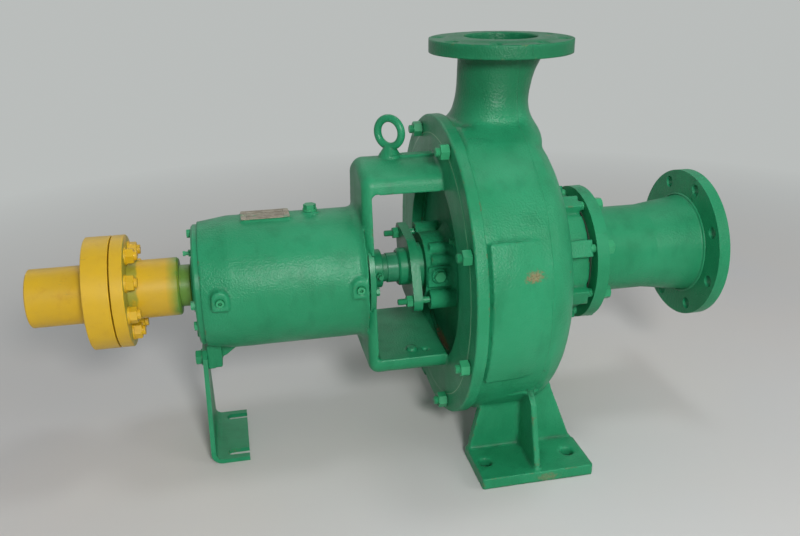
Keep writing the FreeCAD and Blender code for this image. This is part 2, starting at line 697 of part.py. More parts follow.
def casing_nuts():
    nut = hexagon_x(RIM_LEFT_X - 14.8, RIM_LEFT_X, 24, STUD_CIRCLE_R, "left")
    return fixings(nut.cut(rod(RIM_LEFT_X - 16, RIM_LEFT_X + 1, STUD_D / 2, 0, STUD_CIRCLE_R)), eight())


# Bearing bracket

def edges_along(shape, axis, where=None):
    """Straight edges parallel to an axis, optionally filtered by their centre."""
    found = []
    for edge in shape.Edges:
        if edge.Curve.TypeId != "Part::GeomLine":
            continue
        if abs(edge.tangentAt(edge.FirstParameter).dot(axis)) > 0.99:
            if where is None or where(edge.CenterOfMass):
                found.append(edge)
    return found


def lantern_shell():
    """Casting between the wall and the rim, narrower at the top, crowned, with rounded edges."""
    x0 = WALL_LEFT_X
    low = [vec(x0, -LANTERN_HALF_LOW, LANTERN_LOW_Z), vec(x0, LANTERN_HALF_LOW, LANTERN_LOW_Z)]
    top = [vec(x0, LANTERN_HALF_TOP, LANTERN_TOP_Z), vec(x0, -LANTERN_HALF_TOP, LANTERN_TOP_Z)]
    wire = Part.Wire([
        Part.makeLine(low[0], low[1]), Part.makeLine(low[1], top[0]),
        Part.Arc(top[0], vec(x0, 0, LANTERN_CROWN_Z), top[1]).toShape(), Part.makeLine(top[1], low[0])])
    solid = Part.Face(wire).extrude(vec(RIM_LEFT_X + 1 - x0, 0, 0))
    solid = solid.makeFillet(LANTERN_CORNER, edges_along(solid, ALONG_X))
    face_edges = [e for e in solid.Edges if abs(e.BoundBox.XMax - x0) < 0.01]
    return solid.makeFillet(LANTERN_EDGE, face_edges)


def lantern_window():
    """Room inside the lantern, open on both sides."""
    room = block(WALL_RIGHT_X, RIM_LEFT_X, -RIM_R, RIM_R, WINDOW_LOW_Z, WINDOW_TOP_Z)
    room = room.makeFillet(9, edges_along(room, ALONG_Y, lambda c: c.x < WALL_RIGHT_X + 1 and c.z > 0))
    return room.makeFillet(4, edges_along(room, ALONG_Y, lambda c: c.x < WALL_RIGHT_X + 1 and c.z < 0))


def bearing_bracket():
    rim = turned([
        (RIM_LEFT_X, 0), (RIM_LEFT_X, RIM_STEP_R), (RIM_LEFT_X + 1.2, RIM_STEP_R + 1.2),
        (RIM_LEFT_X + 1.2, RIM_R - 2), (RIM_LEFT_X + 3.2, RIM_R), (RIM_JOINT_X, RIM_R), (RIM_JOINT_X, 0)])
    barrel = turned([
        (BARREL_END_X, 0), (BARREL_END_X, BARREL_END_R), (BARREL_TAPER_X, BARREL_R),
        (WALL_LEFT_X - 14, BARREL_R), ((WALL_LEFT_X - 4, BARREL_R + 4), (WALL_LEFT_X + 1, BARREL_R + 14)),
        (WALL_LEFT_X + 1, 0)])
    eye_boss = Part.makeCone(30, 18, EYE_BOSS_Z - LANTERN_TOP_Z, vec(EYE_BOSS_X, 0, LANTERN_TOP_Z), ALONG_Z)
    rib = block(EYE_BOSS_X, RIM_LEFT_X + 1, -11, 11, LANTERN_TOP_Z, EYE_BOSS_Z - 2)
    extras = [lantern_shell(), barrel, eye_boss, rib]
    # side bosses for the oil plugs, flat faced, with a round head and a square foot
    for x in SIDE_BOSSES_X:
        extras.append(Part.makeCylinder(SIDE_BOSS_R, 40, vec(x, -SIDE_BOSS_FACE, SIDE_BOSS_Z), ALONG_Y))
        extras.append(block(x - SIDE_BOSS_R, x + SIDE_BOSS_R, -SIDE_BOSS_FACE, 40 - SIDE_BOSS_FACE,
                            SIDE_BOSS_LOW_Z, SIDE_BOSS_Z))
    extras.append(post(BARREL_R - 12, TOP_PAD_Z, 15, TOP_PLUG_X, 0))
    extras.append(block(PLATE_X0 - 1, PLATE_X1 + 1, -PLATE_HALF - 1, PLATE_HALF + 1, BARREL_R - 22, PLATE_Z))
    leg_face = LEG_LEFT_X + LEG_THICK
    extras.append(block(leg_face, LEG_BOSS_RIGHT_X, -24, 24, LEG_BOLT_Z - 13, -DRIVE_COVER_R - 3))
    extras.append(block(BARREL_END_X, LEG_BOSS_RIGHT_X, -24, 24, LEG_BOLT_Z + 4, -BARREL_END_R + 20))
    boss_x = LEG_BOSS_RIGHT_X - 1
    gusset = Part.Face(Part.makePolygon([
        vec(boss_x, -6, LEG_BOLT_Z - 4), vec(boss_x, -6, -BARREL_R + 12),
        vec(boss_x + 54, -6, -BARREL_R + 12), vec(boss_x + 39, -6, -BARREL_R),
        vec(boss_x, -6, LEG_BOLT_Z - 4)]))
    extras.append(gusset.extrude(vec(0, 12, 0)))
    bump = post(WINDOW_LOW_Z - 8, WINDOW_LOW_Z + 6, 9, -176, -80)
    body = rim.multiFuse(extras)
    cuts = [lantern_window(), rod(RIM_LEFT_X - 1, COVER_LEFT_X + 1, RIM_BORE_R)]
    body = body.cut(Part.makeCompound(cuts)).fuse(bump)
    drive_lip = DRIVE_BEARING_X + BEARING_WIDE
    pump_lip = PUMP_BEARING_X
    room = turned([
        (BARREL_END_X - 1, 0), (BARREL_END_X - 1, BEARING_R), (drive_lip, BEARING_R), (drive_lip, SEAT_LIP_R),
        (drive_lip + 12, SEAT_LIP_R), (drive_lip + 24, BARREL_CAVITY_R), (pump_lip - 24, BARREL_CAVITY_R),
        (pump_lip - 12, SEAT_LIP_R), (pump_lip, SEAT_LIP_R), (pump_lip, BEARING_R),
        (PUMP_SEAT_X, BEARING_R), (PUMP_SEAT_X, PUMP_COVER_R + STATIC_GAP),
        (WALL_RIGHT_X + 1, PUMP_COVER_R + STATIC_GAP), (WALL_RIGHT_X + 1, 0)])
    cuts = [room]
    cuts += ring_of(rod(RIM_LEFT_X - 1, COVER_LEFT_X + 1, STUD_D / 2 + 0.5, 0, STUD_CIRCLE_R), 8, 22.5)
    cuts += ring_of(rod(BARREL_END_X - 1, BARREL_END_X + 22, 4.0, 0, DRIVE_BOLT_R), 4, 0.0)
    cuts += ring_of(rod(PUMP_SEAT_X - 20, WALL_RIGHT_X + 1, 4.0, 0, PUMP_BOLT_R), 4, PUMP_BOLT_START)
    cuts.append(post(EYE_BOSS_Z - 30, EYE_BOSS_Z + 1, 8.0, EYE_BOSS_X, 0))
    cuts.append(post(TOP_PAD_Z - 16, TOP_PAD_Z + 1, 8.0, TOP_PLUG_X, 0))
    cuts.append(rod(LEG_LEFT_X, LEG_LEFT_X + LEG_THICK + 22, 8.0, 0, LEG_BOLT_Z))
    cuts.append(post(LANTERN_LOW_Z - 2, WINDOW_LOW_Z + 1, 5.0, -152, -82))
    for x in SIDE_BOSSES_X:
        cuts.append(Part.makeCylinder(6.5, 14, vec(x, -SIDE_BOSS_FACE - 1, SIDE_PLUG_Z), ALONG_Y))
    for x in (PLATE_X0 + 4, PLATE_X1 - 4):
        cuts.append(post(PLATE_Z - 6, PLATE_Z + 1, 1.5, x, 0))
    return first_solid(body.cut(Part.makeCompound(cuts)))


def nameplate():
    plate = block(PLATE_X0, PLATE_X1, -PLATE_HALF, PLATE_HALF, PLATE_Z, PLATE_Z + PLATE_THICK)
    uprights = [e for e in plate.Edges if abs(e.tangentAt(e.FirstParameter).z) > 0.99]
    plate = plate.makeFillet(4, uprights)
    holes = [post(PLATE_Z - 1, PLATE_Z + 3, 1.5, x, 0) for x in (PLATE_X0 + 4, PLATE_X1 - 4)]
    return first_solid(plate.cut(Part.makeCompound(holes)))


def nameplate_pins():
    pins = []
    for x in (PLATE_X0 + 4, PLATE_X1 - 4):
        stem = post(PLATE_Z - 6, PLATE_Z + PLATE_THICK, 1.5, x, 0)
        head = Part.makeCone(2.8, 1.6, 1.2, vec(x, 0, PLATE_Z + PLATE_THICK), ALONG_Z)
        pins.append(stem.fuse(head))
    return Part.makeCompound(pins)


def filler_plug():
    stem = post(TOP_PAD_Z - 16, TOP_PAD_Z, 8.0, TOP_PLUG_X, 0)
    collar = post(TOP_PAD_Z, TOP_PAD_Z + 3, 12.5, TOP_PLUG_X, 0)
    return stem.multiFuse([collar, hexagon_z(TOP_PAD_Z + 3, TOP_PAD_Z + 11, 19, TOP_PLUG_X, 0)])


def oil_plugs():
    plugs = []
    for x in SIDE_BOSSES_X:
        plug = Part.makeCylinder(6.5, 14, vec(x, -SIDE_BOSS_FACE - 1, SIDE_PLUG_Z), ALONG_Y)
        corner = 6.0 / math.sqrt(3)
        points = [vec(x + corner * math.cos(math.radians(60 * k)), -SIDE_BOSS_FACE - 2,
                      SIDE_PLUG_Z + corner * math.sin(math.radians(60 * k))) for k in range(7)]
        plugs.append(plug.cut(Part.Face(Part.makePolygon(points)).extrude(vec(0, 7, 0))))
    return Part.makeCompound(plugs)


# Bearings

def bearing_ring(left_x, inner, outer, groove_out):
    """Race with its ball groove on one side."""
    mid = left_x + BEARING_WIDE / 2
    body = tube(left_x, left_x + BEARING_WIDE, outer, inner)
    groove = Part.makeTorus(PITCH_R, BALL_R + BALL_GAP, vec(mid, 0, 0), ALONG_X)
    return first_solid(body.cut(groove))


def outer_ring(left_x):
    return bearing_ring(left_x, PITCH_R + 8.0, BEARING_R, False)


def inner_ring(left_x):
    return bearing_ring(left_x, BEARING_BORE_R, PITCH_R - 8.0, True)


def ball_set(left_x):
    mid = left_x + BEARING_WIDE / 2
    return Part.makeCompound([Part.makeSphere(BALL_R, radial(360.0 * k / BALL_COUNT, PITCH_R, mid))
                              for k in range(BALL_COUNT)])


def ball_cage(left_x):
    mid = left_x + BEARING_WIDE / 2
    ring = tube(mid - 14, mid + 14, PITCH_R + 2, PITCH_R - 2)
    pockets = [Part.makeCylinder(BALL_R + 0.2, 12, radial(360.0 * k / BALL_COUNT, PITCH_R - 6, mid),
                                 radial(360.0 * k / BALL_COUNT, 1.0)) for k in range(BALL_COUNT)]
    return first_solid(ring.cut(Part.makeCompound(pockets)))


def bearing_lock_nut():
    nut = tube(NUT_LEFT_X, DRIVE_BEARING_X, 46.0, 30.0)
    slots = ring_of(block(NUT_LEFT_X - 1, DRIVE_BEARING_X + 1, -4, 4, 42.5, 50), 4, 45.0)
    return first_solid(nut.cut(Part.makeCompound(slots)))


def drive_end_cover():
    bore = SHAFT_COUPLING_R + 4.6
    body = turned([
        (DRIVE_HUB_X, bore), (DRIVE_HUB_X, DRIVE_HUB_R - 3), (DRIVE_HUB_X + 3, DRIVE_HUB_R),
        (DRIVE_COVER_FACE_X, DRIVE_HUB_R), (DRIVE_COVER_FACE_X, DRIVE_COVER_R - 3),
        (DRIVE_COVER_FACE_X + 3, DRIVE_COVER_R), (BARREL_END_X, DRIVE_COVER_R), (BARREL_END_X, BEARING_R),
        (DRIVE_BEARING_X, BEARING_R), (DRIVE_BEARING_X, 62.0), (NUT_LEFT_X - 2, 52.0),
        (NUT_LEFT_X - 2, bore)])
    holes = ring_of(rod(DRIVE_COVER_FACE_X - 1, BARREL_END_X + 1, 4.5, 0, DRIVE_BOLT_R), 4, 0.0)
    holes.append(spun(rod(DRIVE_COVER_FACE_X - 1, DRIVE_COVER_FACE_X + 7, 4.0, 0, NIPPLE_R), NIPPLE_ANGLE))
    holes.append(spun(rod(DRIVE_COVER_FACE_X - 1, DRIVE_COVER_FACE_X + 7, 5.0, 0, DRIVE_BOLT_R - 1), 117.0))
    return first_solid(body.cut(Part.makeCompound(holes)))


def drive_end_cover_bolts():
    stem = rod(DRIVE_COVER_FACE_X, BARREL_END_X + 20, 4.0, 0, DRIVE_BOLT_R)
    head = hexagon_x(DRIVE_COVER_FACE_X - 7, DRIVE_COVER_FACE_X, 13, DRIVE_BOLT_R, "left")
    return fixings(stem.fuse(head), (0, 90, 180, 270))


def drive_end_cover_plug():
    stem = rod(DRIVE_COVER_FACE_X, DRIVE_COVER_FACE_X + 7, 5.0, 0, DRIVE_BOLT_R - 1)
    head = hexagon_x(DRIVE_COVER_FACE_X - 6, DRIVE_COVER_FACE_X, 14, DRIVE_BOLT_R - 1, "left")
    return spun(stem.fuse(head), 117.0)


def grease_nipple():
    """Nipple standing up from the origin: stem below, hexagon, waist and ball head."""
    hexagon = hexagon_z(0, 6, 11, 0, 0)
    return post(-7, 0, 4.0).multiFuse([hexagon, post(6, 11, 3.2), post(11, 15, 4.2)])


def drive_end_nipple():
    nipple = grease_nipple()
    nipple.rotate(ORIGIN, ALONG_Y, -90)
    nipple.translate(vec(DRIVE_COVER_FACE_X, 0, NIPPLE_R))
    return spun(nipple, NIPPLE_ANGLE)


def pump_end_nipple():
    nipple = grease_nipple()
    nipple.translate(vec(PUMP_NIPPLE_X, 0, PUMP_HUB_R))
    return spun(nipple, 90.0)


def pump_end_cover():
    bore = SHAFT_NECK_R + 0.5
    body = turned([
        (PUMP_HUB_X, bore), (PUMP_HUB_X, PUMP_HUB_R - 1.5), (PUMP_HUB_X - 1.5, PUMP_HUB_R),
        (PUMP_COVER_FACE_X + 5, PUMP_HUB_R), ((PUMP_COVER_FACE_X + 1.5, PUMP_HUB_R + 1.5),
                                              (PUMP_COVER_FACE_X, PUMP_HUB_R + 5)),
        (PUMP_COVER_FACE_X, PUMP_COVER_R - 1), (PUMP_COVER_FACE_X - 1, PUMP_COVER_R),
        (PUMP_SEAT_X, PUMP_COVER_R), (PUMP_SEAT_X, BEARING_R),
        (PUMP_BEARING_X + BEARING_WIDE, BEARING_R), (PUMP_BEARING_X + BEARING_WIDE, 62.0),
        (PUMP_SEAT_X + 3, 50.0), (PUMP_SEAT_X + 3, bore)])
    holes = ring_of(rod(PUMP_SEAT_X - 1, PUMP_COVER_FACE_X + 1, 4.5, 0, PUMP_BOLT_R), 4, PUMP_BOLT_START)
    holes.append(spun(post(PUMP_HUB_R - 7.5, PUMP_HUB_R + 1, 4.0, PUMP_NIPPLE_X, 0), 90.0))
    return first_solid(body.cut(Part.makeCompound(holes)))


def pump_end_cover_bolts():
    stem = rod(PUMP_SEAT_X - 18, PUMP_COVER_FACE_X, 4.0, 0, PUMP_BOLT_R)
    head = hexagon_x(PUMP_COVER_FACE_X, PUMP_COVER_FACE_X + 7, 13, PUMP_BOLT_R, "right")
    return fixings(stem.fuse(head), [PUMP_BOLT_START + 90 * k for k in range(4)])


# Rotor

def pump_shaft():
    drive_right = DRIVE_BEARING_X + BEARING_WIDE
    pump_right = PUMP_BEARING_X + BEARING_WIDE
    body = turned([
        (SHAFT_LEFT_X, 0), (SHAFT_LEFT_X, SHAFT_COUPLING_R - 2), (SHAFT_LEFT_X + 2, SHAFT_COUPLING_R),
        (NUT_LEFT_X, SHAFT_COUPLING_R), (NUT_LEFT_X, 30.0), (DRIVE_BEARING_X, 30.0),
        (DRIVE_BEARING_X, BEARING_BORE_R), (drive_right, BEARING_BORE_R), (drive_right, SHAFT_SHOULDER_R),
        (drive_right + 14, SHAFT_SHOULDER_R), (drive_right + 20, SHAFT_MID_R),
        (PUMP_BEARING_X - 20, SHAFT_MID_R), (PUMP_BEARING_X - 14, SHAFT_SHOULDER_R),
        (PUMP_BEARING_X, SHAFT_SHOULDER_R), (PUMP_BEARING_X, BEARING_BORE_R), (pump_right, BEARING_BORE_R),
        (pump_right, SHAFT_NECK_R), (SLEEVE_LEFT_X, SHAFT_NECK_R), (SLEEVE_LEFT_X, SHAFT_WET_R),
        (IMPELLER_HUB_RIGHT_X, SHAFT_WET_R), (IMPELLER_HUB_RIGHT_X, SHAFT_THREAD_R),
        (SHAFT_RIGHT_X - 2, SHAFT_THREAD_R), (SHAFT_RIGHT_X, SHAFT_THREAD_R - 2), (SHAFT_RIGHT_X, 0)])
    return first_solid(body.cut(Part.makeCompound([key_block(*IMPELLER_KEY), key_block(*COUPLING_KEY)])))


# left end, right end, seat radius, share of the width
IMPELLER_KEY = (-48.0, 12.0, SHAFT_WET_R, 10.0, 8.0)
COUPLING_KEY = (SHAFT_LEFT_X + 4, -572.0, SHAFT_COUPLING_R, KEY_WIDE, KEY_TALL)


def key_block(x0, x1, seat, wide, tall):
    """Key lying along the shaft, a little over half its height in the shaft."""
    low = seat - tall * 0.6
    return block(x0, x1, -wide / 2, wide / 2, low, low + tall)


def impeller_key():
    return key_block(*IMPELLER_KEY)


def coupling_key():
    return key_block(*COUPLING_KEY)


def impeller():
    eye = IMPELLER_EYE_R
    neck = IMPELLER_NECK_R
    tip = IMPELLER_R
    back = turned([
        (IMPELLER_HUB_LEFT_X, SHAFT_WET_R), (IMPELLER_HUB_LEFT_X, 38), (-46, 48), (-40, 80), (-40, tip),
        (-34, tip), (-33, 110), ((-22, 62), (IMPELLER_HUB_RIGHT_X - 6, 36)),
        (IMPELLER_HUB_RIGHT_X, 32), (IMPELLER_HUB_RIGHT_X, SHAFT_WET_R)])
    front = turned([
        (-10, tip), (-4, tip), (14, 130), ((24, 106), (44, neck + 2)), (48, neck),
        (IMPELLER_NECK_X, neck), (IMPELLER_NECK_X, eye), (52, eye), ((26, 92), (8, 124))])
    passage = turned([
        (-36, 58), (-36, tip), (-8, tip), (10, 126), ((28, 94), (50, eye + 2)), (56, eye + 2), (30, 58)])
    blades = []
    for k in range(BLADE_COUNT):
        blades.append(spun(blade(), 360.0 * k / BLADE_COUNT))
    vanes = Part.makeCompound(blades).common(passage)
    body = back.multiFuse([front] + vanes.Solids)
    body = body.cut(key_block(IMPELLER_HUB_LEFT_X - 1, IMPELLER_HUB_RIGHT_X + 1, SHAFT_WET_R, 10.0, 8.0))
    return first_solid(body)


def blade():
    """Backward-swept vane drawn across the passage."""
    inner_r = 60.0
    outer_r = IMPELLER_R + 2
    wrap = 105.0
    steps = 8
    near = []
    far = []
    for k in range(steps + 1):
        share = k / steps
        r = inner_r + (outer_r - inner_r) * share
        angle = -wrap * share ** 0.8
        lean = math.degrees(BLADE_THICK / 2 / r) * 1.6
        near.append(radial(angle - lean, r, -37))
        far.append(radial(angle + lean, r, -37))
    first = Part.BSplineCurve()
    first.interpolate(near)
    second = Part.BSplineCurve()
    second.interpolate(far)
    wire = Part.Wire([first.toShape(), Part.makeLine(near[-1], far[-1]), second.toShape(),
                      Part.makeLine(far[0], near[0])])
    return Part.Face(wire).extrude(vec(95, 0, 0))


def impeller_nut():
    nut = hexagon_x(IMPELLER_HUB_RIGHT_X, IMPELLER_HUB_RIGHT_X + 20, 46, 0.0, "right")
    return nut.cut(rod(IMPELLER_HUB_RIGHT_X - 1, IMPELLER_HUB_RIGHT_X + 21, SHAFT_THREAD_R))


def shaft_sleeve():
    return turned([
        (SLEEVE_LEFT_X, SHAFT_WET_R), (SLEEVE_LEFT_X, SLEEVE_R - 1), (SLEEVE_LEFT_X + 1, SLEEVE_R),
        (IMPELLER_HUB_LEFT_X, SLEEVE_R), (IMPELLER_HUB_LEFT_X, SHAFT_WET_R)])


def shaft_collar():
    return turned([
        (COLLAR_LEFT_X, SHAFT_COUPLING_R), (COLLAR_LEFT_X, COLLAR_R), (COLLAR_RIGHT_X - 2, COLLAR_R),
        (COLLAR_RIGHT_X, COLLAR_R - 2), (COLLAR_RIGHT_X, SHAFT_COUPLING_R + 4),
        (NUT_LEFT_X, SHAFT_COUPLING_R + 4), (NUT_LEFT_X, SHAFT_COUPLING_R)])


# Coupling

def pin_circle(make):
    return [spun(make, PIN_START + 360.0 * k / PIN_COUNT) for k in range(PIN_COUNT)]


def keyway(x0, x1):
    return key_block(x0, x1, SHAFT_COUPLING_R, KEY_WIDE, KEY_TALL)


def pump_half_coupling():
    body = turned([
        (PUMP_FLANGE_LEFT_X, SHAFT_COUPLING_R), (PUMP_FLANGE_LEFT_X, COUPLING_R - 1),
        (PUMP_FLANGE_LEFT_X + 1, COUPLING_R), (PUMP_FLANGE_RIGHT_X - 1, COUPLING_R),
        (PUMP_FLANGE_RIGHT_X, COUPLING_R - 1), (PUMP_FLANGE_RIGHT_X, COUPLING_HUB_R),
        (COLLAR_LEFT_X - 3, COUPLING_HUB_R), (COLLAR_LEFT_X, COUPLING_HUB_R - 3),
        (COLLAR_LEFT_X, SHAFT_COUPLING_R)])
    holes = pin_circle(rod(PUMP_FLANGE_LEFT_X - 1, PUMP_FLANGE_RIGHT_X + 1, PIN_R, 0, PIN_CIRCLE_R))
    holes.append(keyway(PUMP_FLANGE_LEFT_X - 1, COLLAR_LEFT_X + 1))
    return first_solid(body.cut(Part.makeCompound(holes)))


def motor_half_coupling():
    body = turned([
        (MOTOR_HUB_LEFT_X, SHAFT_COUPLING_R), (MOTOR_HUB_LEFT_X, COUPLING_HUB_R - 3),
        (MOTOR_HUB_LEFT_X + 2, COUPLING_HUB_R - 0.6), (MOTOR_FLANGE_LEFT_X, COUPLING_HUB_R - 0.6),
        (MOTOR_FLANGE_LEFT_X, COUPLING_R - 1), (MOTOR_FLANGE_LEFT_X + 1, COUPLING_R),
        (MOTOR_FLANGE_RIGHT_X - 1, COUPLING_R), (MOTOR_FLANGE_RIGHT_X, COUPLING_R - 1),
        (MOTOR_FLANGE_RIGHT_X, SHAFT_COUPLING_R)])
    holes = pin_circle(rod(MOTOR_FLANGE_LEFT_X - 1, MOTOR_FLANGE_RIGHT_X + 1, BUSH_HOLE_R, 0, PIN_CIRCLE_R))
    holes.append(keyway(MOTOR_HUB_LEFT_X - 1, MOTOR_FLANGE_RIGHT_X + 1))
    return first_solid(body.cut(Part.makeCompound(holes)))


def coupling_pins():
    x0 = MOTOR_FLANGE_LEFT_X
    head = rod(x0 - 3, x0 + 3, 13.0, 0, PIN_CIRCLE_R)
    stem = rod(x0 + 3, PUMP_FLANGE_RIGHT_X, PIN_R, 0, PIN_CIRCLE_R)
    tail = rod(PUMP_FLANGE_RIGHT_X, PUMP_FLANGE_RIGHT_X + 20, PIN_R - 1, 0, PIN_CIRCLE_R)
    return Part.makeCompound(pin_circle(head.multiFuse([stem, tail])))


def coupling_pin_nuts():
    x0 = PUMP_FLANGE_RIGHT_X
    washer = rod(x0, x0 + 3, 15.0, 0, PIN_CIRCLE_R)
    nut = washer.fuse(hexagon_x(x0 + 3, x0 + 15, 24, PIN_CIRCLE_R, "right"))
    return Part.makeCompound(pin_circle(nut.cut(rod(x0 - 1, x0 + 17, PIN_R - 1, 0, PIN_CIRCLE_R))))


def coupling_bushes():
    x0 = MOTOR_FLANGE_LEFT_X + 3
    bush = rod(x0, PUMP_FLANGE_LEFT_X - 1, BUSH_R, 0, PIN_CIRCLE_R)
    hole = rod(x0 - 1, PUMP_FLANGE_LEFT_X + 1, PIN_R, 0, PIN_CIRCLE_R)
    return Part.makeCompound(pin_circle(bush.cut(hole)))


# Support leg and lifting eye

def support_leg():
    """Bent plate; the foot has two slots open towards the pump."""
    x0 = LEG_LEFT_X
    x1 = x0 + LEG_THICK
    z0 = FLOOR_Z
    outer_r = LEG_BEND_R + LEG_THICK
    bend = outer_r * (1 - 0.7071)
    inner_bend = LEG_BEND_R * (1 - 0.7071)
    side = outline([
        (x0, LEG_TOP_Z), (x0, z0 + outer_r), ((x0 + bend, z0 + bend), (x0 + outer_r, z0)), (LEG_TOE_X, z0),
        (LEG_TOE_X, z0 + LEG_THICK), (x1 + LEG_BEND_R, z0 + LEG_THICK),
        ((x1 + inner_bend, z0 + LEG_THICK + inner_bend), (x1, z0 + LEG_THICK + LEG_BEND_R)), (x1, LEG_TOP_Z)])
    plate = Part.Face(side).extrude(vec(0, 2 * LEG_HALF_LOW, 0))
    plate.translate(vec(0, -LEG_HALF_LOW, 0))
    half = LEG_HALF_TOP
    points = [vec(x0 - 1, -LEG_HALF_LOW, z0 - 1), vec(x0 - 1, LEG_HALF_LOW, z0 - 1),
              vec(x0 - 1, LEG_HALF_LOW, z0 + 24), vec(x0 - 1, half, LEG_TOP_Z - 12),
              vec(x0 - 1, half - 12, LEG_TOP_Z), vec(x0 - 1, -half + 12, LEG_TOP_Z),
              vec(x0 - 1, -half, LEG_TOP_Z - 12), vec(x0 - 1, -LEG_HALF_LOW, z0 + 24),
              vec(x0 - 1, -LEG_HALF_LOW, z0 - 1)]
    face = Part.Face(Part.makePolygon(points)).extrude(vec(100, 0, 0))
    plate = plate.common(face)
    cuts = [rod(x0 - 1, x1 + 1, 9.0, 0, LEG_BOLT_Z)]
    slot_x = LEG_TOE_X - LEG_SLOT_LONG + LEG_SLOT_R
    for y in (-LEG_SLOT_Y, LEG_SLOT_Y):
        cuts.append(post(z0 - 1, z0 + LEG_THICK + 1, LEG_SLOT_R, slot_x, y))
        cuts.append(block(slot_x, LEG_TOE_X + 1, y - LEG_SLOT_R, y + LEG_SLOT_R, z0 - 1, z0 + LEG_THICK + 1))
    return first_solid(plate.cut(Part.makeCompound(cuts)))


def support_leg_bolt():
    stem = rod(LEG_LEFT_X, LEG_LEFT_X + LEG_THICK + 20, 8.0, 0, LEG_BOLT_Z)
    washer = rod(LEG_LEFT_X - 3, LEG_LEFT_X, 15.0, 0, LEG_BOLT_Z)
    head = hexagon_x(LEG_LEFT_X - 13, LEG_LEFT_X - 3, 24, LEG_BOLT_Z, "left")
    return stem.multiFuse([washer, head])


def eye_bolt():
    stem = post(EYE_BOSS_Z - 26, EYE_BOSS_Z, 8.0, EYE_BOSS_X, 0)
    collar = Part.makeCone(17.5, 13.0, 7, vec(EYE_BOSS_X, 0, EYE_BOSS_Z), ALONG_Z)
    neck = Part.makeCone(13.0, 8.0, 8, vec(EYE_BOSS_X, 0, EYE_BOSS_Z + 7), ALONG_Z)
    ring = Part.makeTorus(EYE_RING_R, EYE_WIRE_R, vec(EYE_BOSS_X, 0, EYE_RING_Z), ALONG_X)
    ring.rotate(vec(EYE_BOSS_X, 0, 0), ALONG_Z, EYE_TURN)
    hole = Part.makeCylinder(EYE_RING_R - EYE_WIRE_R, 60, vec(EYE_BOSS_X - 30, 0, EYE_RING_Z), ALONG_X)
    hole.rotate(vec(EYE_BOSS_X, 0, 0), ALONG_Z, EYE_TURN)
    return first_solid(stem.multiFuse([collar, neck, ring]).cut(hole))


PIECES = {
    "volute_casing": volute_casing,
    "casing_drain_plug": casing_drain_plug,
    "casing_wear_ring": casing_wear_ring,
    "suction_gasket": suction_gasket,
    "suction_spool": suction_spool,
    "suction_spool_bolts": suction_spool_bolts,
    "casing_cover": casing_cover,
    "cover_gasket": cover_gasket,
    "cover_jacking_screws": cover_jacking_screws,
    "seal_water_plug": seal_water_plug,
    "throat_bush": throat_bush,
    "rear_packing_rings": rear_packing_rings,
    "front_packing_ring": front_packing_ring,
    "lantern_ring": lantern_ring,
    "gland_studs": gland_studs,
    "gland_follower": gland_follower,
    "gland_nuts": gland_nuts,
    "casing_studs": casing_studs,
    "casing_nuts": casing_nuts,
    "bearing_bracket": bearing_bracket,
    "nameplate": nameplate,
    "nameplate_pins": nameplate_pins,
    "filler_plug": filler_plug,
    "oil_plugs": oil_plugs,
    "drive_end_outer_ring": lambda: outer_ring(DRIVE_BEARING_X),
    "drive_end_inner_ring": lambda: inner_ring(DRIVE_BEARING_X),
    "drive_end_balls": lambda: ball_set(DRIVE_BEARING_X),
    "drive_end_cage": lambda: ball_cage(DRIVE_BEARING_X),
    "pump_end_outer_ring": lambda: outer_ring(PUMP_BEARING_X),
    "pump_end_inner_ring": lambda: inner_ring(PUMP_BEARING_X),
    "pump_end_balls": lambda: ball_set(PUMP_BEARING_X),
    "pump_end_cage": lambda: ball_cage(PUMP_BEARING_X),
    "bearing_lock_nut": bearing_lock_nut,
    "drive_end_cover": drive_end_cover,
    "drive_end_cover_bolts": drive_end_cover_bolts,
    "drive_end_cover_plug": drive_end_cover_plug,
    "drive_end_nipple": drive_end_nipple,
    "pump_end_cover": pump_end_cover,
    "pump_end_cover_bolts": pump_end_cover_bolts,
    "pump_end_nipple": pump_end_nipple,
    "pump_shaft": pump_shaft,
    "impeller_key": impeller_key,
    "coupling_key": coupling_key,
    "impeller": impeller,
    "impeller_nut": impeller_nut,
    "shaft_sleeve": shaft_sleeve,
    "shaft_collar": shaft_collar,
    "pump_half_coupling": pump_half_coupling,
    "motor_half_coupling": motor_half_coupling,
    "coupling_pins": coupling_pins,
    "coupling_pin_nuts": coupling_pin_nuts,
    "coupling_bushes": coupling_bushes,
    "support_leg": support_leg,
    "support_leg_bolt": support_leg_bolt,
    "eye_bolt": eye_bolt,
}


def build():
    os.makedirs("parts", exist_ok=True)
    for node, make in PIECES.items():
        shape = make()
        shape.translate(vec(0, 0, AXIS_HEIGHT))
        shape.exportStep("parts/" + node + ".step")
        print(node, len(shape.Solids), round(shape.Volume / 1000.0, 1), shape.isValid())


build()
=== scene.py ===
import json
import logging
import math
from collections.abc import Callable, Iterable
from dataclasses import dataclass, field
from enum import Enum
from typing import Any

import bmesh
import bpy
from mathutils import Matrix, Vector, noise

